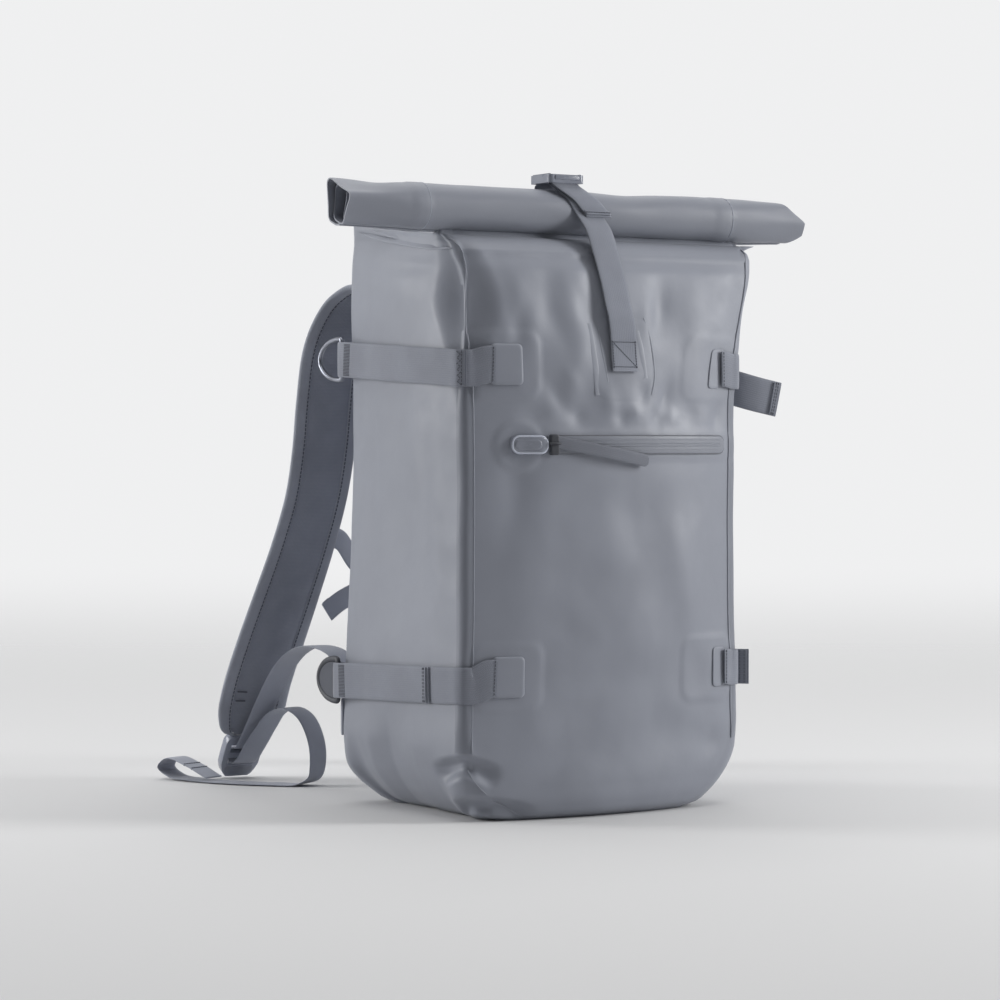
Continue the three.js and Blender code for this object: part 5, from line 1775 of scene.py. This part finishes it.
def closure_points():
    half = CLOSURE["thick"] / 2 + 0.3
    points = []
    for z in CLOSURE_FRONT_Z:
        lift = lerp(CLOSURE_PATCH["thick"] + 0.5, SEAT, smoothstep(z, 438, 452))
        lift += half + 2 * smoothstep(z, 408, 440)
        points.append(front_point(closure_x(z), z, lift, False))
    points += [Vector((closure_x(z), y, z)) for y, z in CLOSURE_RISE]
    x = closure_x(CLOSURE_OVER["z"])
    for angle in CLOSURE_OVER["angles"]:
        point = outer_roll(math.radians(angle), 0.6 + CLOSURE["thick"] / 2, x)
        point.x = closure_x(point.z)
        points.append(point)
    points += [Vector((closure_x(z), y, z)) for y, z in bar_fold(-1, math.radians(185))]
    # The sewn tail comes back out under the buckle's front bar and lies on the strap, a little to its right.
    tail = [Vector((x, y, z)) for y, z in CLOSURE_TAIL_START]
    rest = 0.6 + 1.5 * CLOSURE["thick"] + 0.6
    for angle, off in CLOSURE_TAIL:
        tail.append(outer_roll(math.radians(angle), rest + off, x))
    for point in tail:
        point.x = closure_x(point.z) + CLOSURE_TAIL_SHIFT * (1 - smoothstep(point.z, 531, 560))
    return points + tail


def closure_back_points():
    half = CLOSURE["thick"] / 2 + 0.4
    x = BUCKLE["x"]
    points = []
    for y in CLOSURE_BACK_Y:
        share = (y - NECK.back) / (SHOULDER.back + SHOULDER.back_crown - NECK.back)
        station = ("back", x / (SHOULDER.half - SHOULDER.back_corner))
        points.append(Vector((x, y, bag_roof(station, 1 - share).z + half)))
    points += [Vector((x, y, z)) for y, z in CLOSURE_BACK_RISE]
    points += [outer_roll(math.radians(a), 0.6 + half, x) for a in CLOSURE_BACK_OVER]
    points += [Vector((x, y, z)) for y, z in bar_fold(1, math.pi / 2)]
    return points


def box_stitches(frames, start, end, half_width, off):
    """A sewn box with one diagonal, on the outside of a strap."""
    rows = cut(frames, start, end)
    first, last = rows[0], rows[-1]

    def at(row, share):
        return row.middle + row.across * share * half_width + row.off * off

    parts = []
    for line in (
        [at(first, s) for s in spaced(-1, 1, 6)],
        [at(last, s) for s in spaced(-1, 1, 6)],
        [at(row, -1) for row in rows],
        [at(row, 1) for row in rows],
        [at(row, lerp(1, -1, k / (len(rows) - 1))) for k, row in enumerate(rows)],
    ):
        parts.append((stitches(line, [first.off * (1 if off > 0 else -1)] * len(line), 2.4, 1.7, 0.26), 1))
    return parts


def build_closure():
    patch = CLOSURE_PATCH
    shares = (0.85, 0.7, 0.55, 0.4, 0.25, 0.1, 0)
    rim = [(1, 0, -0.5), (1, 0, -0.2), (1, 2, -0.05), (1, 4, 0.1), (1, 6, 0.2), (1, 7.5, 0.25)]
    profile = [(share, 0, -0.6) for share in reversed(shares)] + rim
    profile += [(share, 7.5, 0.28) for share in shares]
    size = patch["width"], patch["height"], patch["corner"]
    parts = [(pad_on(front_point, patch["x"], patch["z"], *size, profile), 0)]
    for line, (wide, flat) in zip(PATCH_RIDGES, RIDGE_FORMS):
        ridge = smooth_points([front_point(x, z, 0.1) for x, z in line])
        parts.append((tube(ridge, wide, 12, flat=flat, normal=(0, -1, 0)), 0))
    piece("closure_patch_piece", joined(parts), [coated()], ["closure_patch"])

    frames = strap_frames(closure_points(), crosswise, step=2.0, level=True)
    hem = cut(frames, -CLOSURE["hem"], -0.1)
    sign = -1 if hem[0].off.y > 0 else 1
    raised = lifted(hem, sign * CLOSURE["thick"] * 1.05)
    outside = 1 if frames[4].off.y < 0 else -1
    parts = [
        (ribbon(frames, CLOSURE["width"], CLOSURE["thick"], 12), 0),
        (ribbon(raised, CLOSURE["width"] - 0.5, CLOSURE["thick"], 12), 0),
        *box_stitches(frames, 2.5, 28, CLOSURE["width"] / 2 - 2, outside * 0.95),
    ]
    at = raised[1]
    row = [at.middle + at.across * s + at.off * sign * 0.95 for s in (-12, -6, 0, 6, 12)]
    parts.append((stitches(row, [at.off * sign] * len(row), 2.6, 2.0), 1))
    # The closure strap's webbing carries a painted shadow line along its edges.
    shadow_edged = woven_webbing("edged_webbing", tinted(settings().webbing, 1.1), edge=CLOSURE["width"] / 2 - 0.9)
    piece("closure_webbing", joined(parts), [shadow_edged, thread()], ["closure_strap"])

    frames = strap_frames(closure_back_points(), crosswise, step=2.0)
    outside = 1 if frames[2].off.z > 0 else -1
    parts = [(ribbon(frames, CLOSURE["width"], CLOSURE["thick"], 12), 0)]
    parts += box_stitches(frames, 2.5, 24, CLOSURE["width"] / 2 - 2, outside * 0.95)
    piece("closure_webbing_back", joined(parts), [webbing(), thread()], ["closure_strap_back"])
    build_buckle()


def build_buckle():
    half, depth = BUCKLE["width"] / 2, BUCKLE["depth"] / 2
    inner = depth - BUCKLE["bar"]
    slot = BUCKLE["slot_width"] / 2
    x_lines = (-half, -slot, slot, half)
    y_lines = (-depth, -inner, 0.5, inner - 6, inner, depth)
    bm = slotted_plate(x_lines, y_lines, [(1, 1), (1, 3)], BUCKLE["thick"], 4, 1.3)
    place = Matrix.Translation((BUCKLE["x"], BUCKLE["y"], BUCKLE["z"]))
    parts = [(placed(bm, place), 0)]
    pin = [(BUCKLE["x"] + x, BUCKLE_PIN["y"], BUCKLE_PIN["z"]) for x in spaced(-slot - 1, slot + 1, 6)]
    parts.append((tube([Vector(point) for point in pin], BUCKLE_PIN["radius"], 12), 0))
    for side in (-1, 1):
        rail = slotted_plate((-1.5, 1.5), (-depth + 3, depth - 3), [], 2.4, 1.2, 0.8)
        parts.append((placed(rail, place @ Matrix.Translation((side * (half - 2.2), 0, 3.4))), 0))
    face = slotted_plate((-slot + 2, slot - 2), (-1.8, 1.8), [], 1.6, 1.4, 0.5)
    stand = Matrix.Translation((0, -depth + 0.1, 1)) @ Matrix.Rotation(math.pi / 2, 4, "X")
    parts.append((placed(face, place @ stand), 0))
    piece("closure_buckle_piece", joined(parts), [plastic()], ["closure_buckle"], sharp=35)


# Zip


def rounded_end(total, reach, least, flat):
    """How a flat piece narrows over the last of its length, as a share of its width."""

    def share(at):
        left = max(total - at.along, 0.0)
        return 1.0 if left > reach else max(least, math.sqrt(1 - (1 - left / reach) ** 2 * flat))

    return share


def build_zip_band():
    cloth = coated_cloth("zip_film", tinted(settings().coated, 0.84), rough=0.42)
    # Painted shadow: the band's outline is the cloth darkened to 0.45, for the shade where the band meets the
    # bag.
    edge = coated_cloth("zip_edge", tinted(settings().coated, 0.45), rough=0.5)
    lift = ZIP["thick"] / 2 + 0.65
    points = [plain_front(x, ZIP["z"], lift) for x in spaced(ZIP["from_x"], ZIP["to_x"], 24)]
    frames = strap_frames(points, upright, step=2.0)
    narrowed = rounded_end(frames[-1].along, 7, 0.25, 0.75)
    parts = [(ribbon(frames, ZIP["height"], ZIP["thick"], 12, narrowed), 0)]
    outside = 1 if frames[4].off.y < 0 else -1
    for share, radius in ZIP_LINES:
        line = [
            at.middle + at.across * share * ZIP["height"] + at.off * outside * 0.55 for at in frames[2:-3]
        ]
        parts.append((tube(line, radius, 6), 0))
    # The dark outline round the band carries the painted shadow.
    rim = [
        [at.middle + at.across * side * ZIP["height"] / 2 * narrowed(at) for at in frames[1:]]
        for side in (-1, 1)
    ]
    parts.append((tube([*rim[0], *reversed(rim[1])], 0.55, 6), 1))
    piece("zip_band_piece", joined(parts), [cloth, edge], ["zip_band"])


def build_zip_garage():
    """The moulded end that the slider stops at."""
    centre = (ZIP_GARAGE["from_x"] + ZIP_GARAGE["to_x"]) / 2
    width = ZIP_GARAGE["to_x"] - ZIP_GARAGE["from_x"]
    height = ZIP_GARAGE["height"]
    body = pad_on(plain_front, centre, ZIP["z"], width, height, 7.5, pad_profile(-0.4, 4.4, 2.4))
    inset = pad_on(plain_front, centre - 2, ZIP["z"], width - 10, height - 8, 4, pad_profile(3.4, 1.1, 0.8))
    outline = rounded_outline(width - 2.6, height - 2.6, 6.2)
    rim = [plain_front(centre + x, ZIP["z"] + z, 3.1) for x, z in outline]
    bm = joined([(body, 0), (inset, 0), (tube(rim, 1.0, 10, close=True), 1)])
    dull = moulded_plastic("garage_plastic", tinted(settings().coated, 0.95), 0.22)
    # Painted highlight: the rim bead round the garage is the cloth lightened 1.9 times, for the shine along
    # its edge.
    bright = moulded_plastic("garage_rim", tinted(settings().coated, 1.9), 0.16)
    piece("zip_garage_piece", bm, [dull, bright], ["zip_garage"])


def build_zip_slider():
    middle = (ZIP_SLIDER["from_x"] + ZIP_SLIDER["to_x"]) / 2
    width = ZIP_SLIDER["to_x"] - ZIP_SLIDER["from_x"]
    profile = pad_profile(1.2, ZIP_SLIDER["thick"], 1.0)
    body = pad_on(plain_front, middle, ZIP["z"], width, ZIP_SLIDER["height"], 2, profile)
    bridge = [
        plain_front(middle - 5 + x, ZIP["z"] + 1, 4.6 + 2.2 * math.sin(math.pi * x / 10))
        for x in spaced(0, 10, 10)
    ]
    bm = joined([(body, 0), (tube(bridge, 1.0, 8), 0)])
    piece("zip_slider_piece", bm, [loop_plastic()], ["zip_slider"])


def build_zip_pull():
    pull = ZIP_PULL
    points = []
    for t in spaced(0, 1, 12):
        x, z = lerp(pull["from_x"], pull["to_x"], t), lerp(pull["from_z"], pull["to_z"], t)
        points.append(plain_front(x, z, 3.4 + 2.2 * math.sin(math.pi * t * 0.9)))
    frames = strap_frames(points, upright, step=2.0)
    narrowed = rounded_end(frames[-1].along, 3, 0.6, 0.6)
    bm = ribbon(frames, pull["width"], pull["thick"], 10, narrowed)
    cloth = woven_webbing("pull_webbing", tinted(settings().webbing, 0.76), 1.6)
    piece("zip_pull_piece", bm, [cloth], ["zip_pull"])


def build_zip():
    build_zip_band()
    build_zip_garage()
    build_zip_slider()
    build_zip_pull()


# Harness

# Half section of the strap's cushion: place across the width and share of its half thickness.
CUSHION_PROFILE = [
    (-0.82, 0.0), (-0.81, 0.28), (-0.72, 0.3), (-0.6, 0.3), (-0.565, 0.46),
    (-0.51, 0.6), (-0.42, 0.7), (-0.22, 0.76), (0.0, 0.78),
]
CUSHION_PROFILE += [(-a, h) for a, h in reversed(CUSHION_PROFILE[:-1])]
# Section of the binding that is sewn over the cushion's edge, on the side of one face.
BINDING_PROFILE = [
    (0.63, 0.1), (0.635, 0.32), (0.66, 0.46), (0.72, 0.52),
    (0.8, 0.56), (0.88, 0.55), (0.95, 0.44), (0.99, 0.22),
]
BINDING_PROFILE += [(1.0, 0.0), *((a, -h) for a, h in reversed(BINDING_PROFILE))]


def shoulder_frames():
    return strap_frames(SHOULDER_ROUTE, crosswise, step=3.0)


def strap_share(at, total):
    """The strap narrows to a rounded end above the lock."""
    left = max(total - at.along, 0.0)
    swell = 1 + 0.1 * smoothstep(at.along, 0.45 * total, 0.85 * total)
    return swell * (1 if left > 36 else 0.46 + 0.54 * math.sqrt(1 - (1 - left / 36) ** 2))


def strap_width(at, total):
    return SHOULDER_STRAP["width"] / 2 * strap_share(at, total)


def strap_half(at, total):
    return SHOULDER_STRAP["thick"] / 2 * lerp(0.6, 1.0, smoothstep(min(at.along, total - at.along), 0, 22))


def strap_point(at, total, across, off):
    """A point of the strap, at shares of its half width and of its half thickness."""
    return at.middle + at.across * across * strap_width(at, total) + at.off * off * strap_half(at, total)


def cushion_mesh(frames, total):
    """The strap's cushion, blown up between the bindings."""
    count = len(CUSHION_PROFILE)
    around = 2 * count - 2
    last = len(frames) - 1

    def place(k, j):
        k %= around
        at = frames[clamp(j - 1, 0, last)]
        index, face = (k, 1) if k < count else (around - k, -1)
        share, half = CUSHION_PROFILE[index]
        half = 0 if j in (0, last + 2) else half * strap_half(at, total)
        return at.middle + at.across * share * strap_width(at, total) + at.off * half * face

    bm = outward(lofted(around, last + 2, place))

    def held(point):
        at = min(frames, key=lambda f: (f.middle - point).length_squared)
        share = abs((point - at.middle).dot(at.across)) / strap_width(at, total)
        return share > 0.6 or at.along < 8 or at.along > total - 8

    return puffed(bm, held, voxel=3.2, cap=CUSHION["cap"])


def binding_mesh(frames, total, edge):
    last = len(frames) - 1

    def place(k, j):
        at = frames[clamp(j - 1, 0, last)]
        share, half = BINDING_PROFILE[k % len(BINDING_PROFILE)]
        if j in (0, last + 2):
            share, half = 0.83, 0
        return strap_point(at, total, edge * share, half)

    return outward(lofted(len(BINDING_PROFILE), last + 2, place))


def strap_parts():
    """The cushion, its bindings and the stitching, with the number of each one's material."""
    frames = shoulder_frames()
    total = frames[-1].along
    parts = [(cushion_mesh(frames, total), 0)]
    for edge in (-1, 1):
        parts.append((binding_mesh(frames, total, edge), 1))
        for face in (-1, 1):
            rows = cut(frames, 6, total - 4)
            line = [strap_point(at, total, edge * 0.69, face * 0.51) for at in rows]
            parts.append((stitches(line, [at.off * face for at in rows], 4.0, 2.9, 0.5), 2))
    for shift in (50, 40):
        here = cut(frames, total - shift, total - shift + 4)[0]
        for face in (-1, 1):
            lift = here.off * face * 0.9 * strap_half(here, total)
            bar = [here.middle + here.across * s + lift for s in spaced(-22, -13, 4)]
            parts.append((stitches(bar, [here.off * face] * len(bar), 1.2, 1.6, 0.6), 2))
    return parts


def build_shoulder_straps():
    left = joined(strap_parts())
    pad = padded_cloth("padded_cloth", settings().padding)
    rim = padded_cloth("binding_cloth", settings().binding, 0.9)
    for name, bm in (("right", mirrored(left.copy())), ("left", left)):
        nodes = [f"shoulder_strap_{name}"]
        obj = piece(f"padded_strap_{name}", bm, [pad, rim, thread()], nodes, sharp=55)


def lock_mesh():
    """The strap's lock: a plate with two slots, and a lip on both faces of its lower end."""
    plate = slotted_plate(LOCK_LINES_X, LOCK_LINES_Y, [(1, 1), (1, 3)], LOCK["thick"], 8, 2.6)
    layers = [(0, plate)]
    lip = LOCK_LIP
    lip_x, lip_y = (-lip["half"], lip["half"]), (lip["from_y"], lip["to_y"])
    for out in (lip["out"], -lip["out"]):
        layers.append((out, slotted_plate(lip_x, lip_y, [], lip["thick"], lip["corner"], lip["edge"])))
    lean = Matrix.Rotation(math.radians(LOCK["lean"] - 90), 4, "X")
    stand = Matrix.Translation((LOCK["x"], LOCK["y"], LOCK["z"])) @ lean
    parts = []
    for out, bm in layers:
        for vert in bm.verts:
            vert.co.x *= 1 - LOCK_TAPER * smoothstep(vert.co.y, *LOCK_TAPER_Y)
        parts.append((placed(bm, stand @ Matrix.Translation((0, 0, out))), 0))
    return joined(parts)


def tab_mesh():
    middle_z = (TAB["from_z"] + TAB["to_z"]) / 2
    points = [back_point(-x, middle_z, 1.6) for x in (117, 122, 126)]
    y = points[-1].y + 0.3
    points += [Vector((-x, y, middle_z)) for x in (133, 140, TAB["outer"])]
    frames = strap_frames(points, upright, step=2.0)
    return ribbon(frames, TAB["to_z"] - TAB["from_z"], TAB["thick"], 10)


# Painted light: the lock's plastic is the buckles' plastic lightened 1.2 times, to make up for the shade it
# hangs in.
def lock_plastic():
    return moulded_plastic("lock_plastic", tinted(settings().plastic, 1.2), 0.2)


def build_harness():
    build_shoulder_straps()
    for name, side in (("left", LEFT), ("right", RIGHT)):
        lock, tab = lock_mesh(), tab_mesh()
        if side == RIGHT:
            lock, tab = mirrored(lock), mirrored(tab)
        nodes = [f"ladder_lock_{name}"]
        piece(f"strap_lock_{name}", lock, [lock_plastic()], nodes, sharp=35)
        piece(f"corner_tab_{name}", tab, [coated()], [f"strap_tab_{name}"])
    frames = strap_frames(STERNUM_ROUTE, upright, step=2.0)
    bm = ribbon(frames, STERNUM["width"], STERNUM["thick"])
    piece("chest_strap", bm, [light_webbing()], ["sternum_strap"])
    buckle = STERNUM_BUCKLE
    half, tall = buckle["width"] / 2, buckle["height"] / 2
    bm = slotted_plate((-half, -11, 11, half), (-tall, -9, 9, tall), [], buckle["thick"], 6, 1.8)
    turn = Matrix.Translation((0, buckle["y"], buckle["z"])) @ Matrix.Rotation(math.pi / 2, 4, "X")
    piece("chest_buckle", placed(bm, turn), [plastic()], ["sternum_buckle"], sharp=35)


def build_back_panel():
    panel = BACK_PANEL
    height = panel["to_z"] - panel["from_z"]
    middle = (panel["to_z"] + panel["from_z"]) / 2
    shares = (0.94, 0.85, 0.72, 0.6, 0.45, 0.3, 0.15, 0)
    profile = pad_profile(0.4, panel["thick"], 4.5, shares)
    bm = pad_on(back_point, 0, middle, 2 * panel["half"], height, panel["corner"], profile)

    def held(point):
        rim = abs(point.x) > panel["half"] - 10 or abs(point.z - middle) > height / 2 - 10
        return rim or point.y < back_point(point.x, point.z).y + 3

    bm = puffed(bm, held, voxel=5.0, cap=CUSHION["cap"])
    pad = padded_cloth("panel_cloth", tinted(settings().padding, 1.15), 1.6)
    obj = piece("padded_back", bm, [pad], ["back_panel"], sharp=55)


# Operators


class BACKPACK_OT_stage(bpy.types.Operator):
    """Add the camera, lights and floor"""

    bl_idname = "backpack.stage"
    bl_label = "Stage"

    def execute(self, context):
        build_stage()
        return {"FINISHED"}


class BACKPACK_OT_cords(bpy.types.Operator):
    """Add the adjuster webbing and the chest strap's loose end"""

    bl_idname = "backpack.cords"
    bl_label = "Loose webbing"

    def execute(self, context):
        build_cords()
        return {"FINISHED"}


class BACKPACK_OT_body(bpy.types.Operator):
    """Add the bag with its folds and seam tapes"""

    bl_idname = "backpack.body"
    bl_label = "Bag body"

    def execute(self, context):
        build_body()
        return {"FINISHED"}


class BACKPACK_OT_roll(bpy.types.Operator):
    """Add the rolled neck"""

    bl_idname = "backpack.roll"
    bl_label = "Rolled neck"

    def execute(self, context):
        build_roll()
        return {"FINISHED"}


class BACKPACK_OT_compression(bpy.types.Operator):
    """Add the side straps with their pads and rings"""

    bl_idname = "backpack.compression"
    bl_label = "Side straps"

    def execute(self, context):
        build_compression()
        return {"FINISHED"}


class BACKPACK_OT_closure(bpy.types.Operator):
    """Add the strap over the roll with its patch and buckle"""

    bl_idname = "backpack.closure"
    bl_label = "Closure strap"

    def execute(self, context):
        build_closure()
        return {"FINISHED"}


class BACKPACK_OT_zip(bpy.types.Operator):
    """Add the front pocket's sealed zip"""

    bl_idname = "backpack.zip"
    bl_label = "Front zip"

    def execute(self, context):
        build_zip()
        return {"FINISHED"}


class BACKPACK_OT_harness(bpy.types.Operator):
    """Add the shoulder straps, locks, tabs and chest strap"""

    bl_idname = "backpack.harness"
    bl_label = "Harness"

    def execute(self, context):
        build_harness()
        return {"FINISHED"}


class BACKPACK_OT_back_panel(bpy.types.Operator):
    """Add the padded back panel"""

    bl_idname = "backpack.back_panel"
    bl_label = "Back panel"

    def execute(self, context):
        build_back_panel()
        return {"FINISHED"}


STEPS = (
    BACKPACK_OT_stage,
    BACKPACK_OT_cords,
    BACKPACK_OT_body,
    BACKPACK_OT_roll,
    BACKPACK_OT_compression,
    BACKPACK_OT_closure,
    BACKPACK_OT_zip,
    BACKPACK_OT_harness,
    BACKPACK_OT_back_panel,
)


class BACKPACK_PT_pieces(bpy.types.Panel):
    """The backpack's pieces, in the order they are built"""

    bl_idname = "BACKPACK_PT_pieces"
    bl_label = "Backpack"
    bl_space_type = "VIEW_3D"
    bl_region_type = "UI"
    bl_category = "Backpack"

    def draw(self, context):
        for step in STEPS:
            self.layout.operator(step.bl_idname)
        for name in BackpackSettings.__annotations__:
            self.layout.prop(context.scene.backpack, name)


CLASSES = (BackpackSettings, *STEPS, BACKPACK_PT_pieces)


def register():
    for cls in CLASSES:
        bpy.utils.register_class(cls)
    bpy.types.Scene.backpack = bpy.props.PointerProperty(type=BackpackSettings)


def unregister():
    del bpy.types.Scene.backpack
    for cls in reversed(CLASSES):
        bpy.utils.unregister_class(cls)


def main():
    register()
    bpy.ops.backpack.stage()
    bpy.ops.backpack.cords()
    bpy.ops.backpack.body()
    bpy.ops.backpack.roll()
    bpy.ops.backpack.compression()
    bpy.ops.backpack.closure()
    bpy.ops.backpack.zip()
    bpy.ops.backpack.harness()
    bpy.ops.backpack.back_panel()


if __name__ == "__main__":
    main()
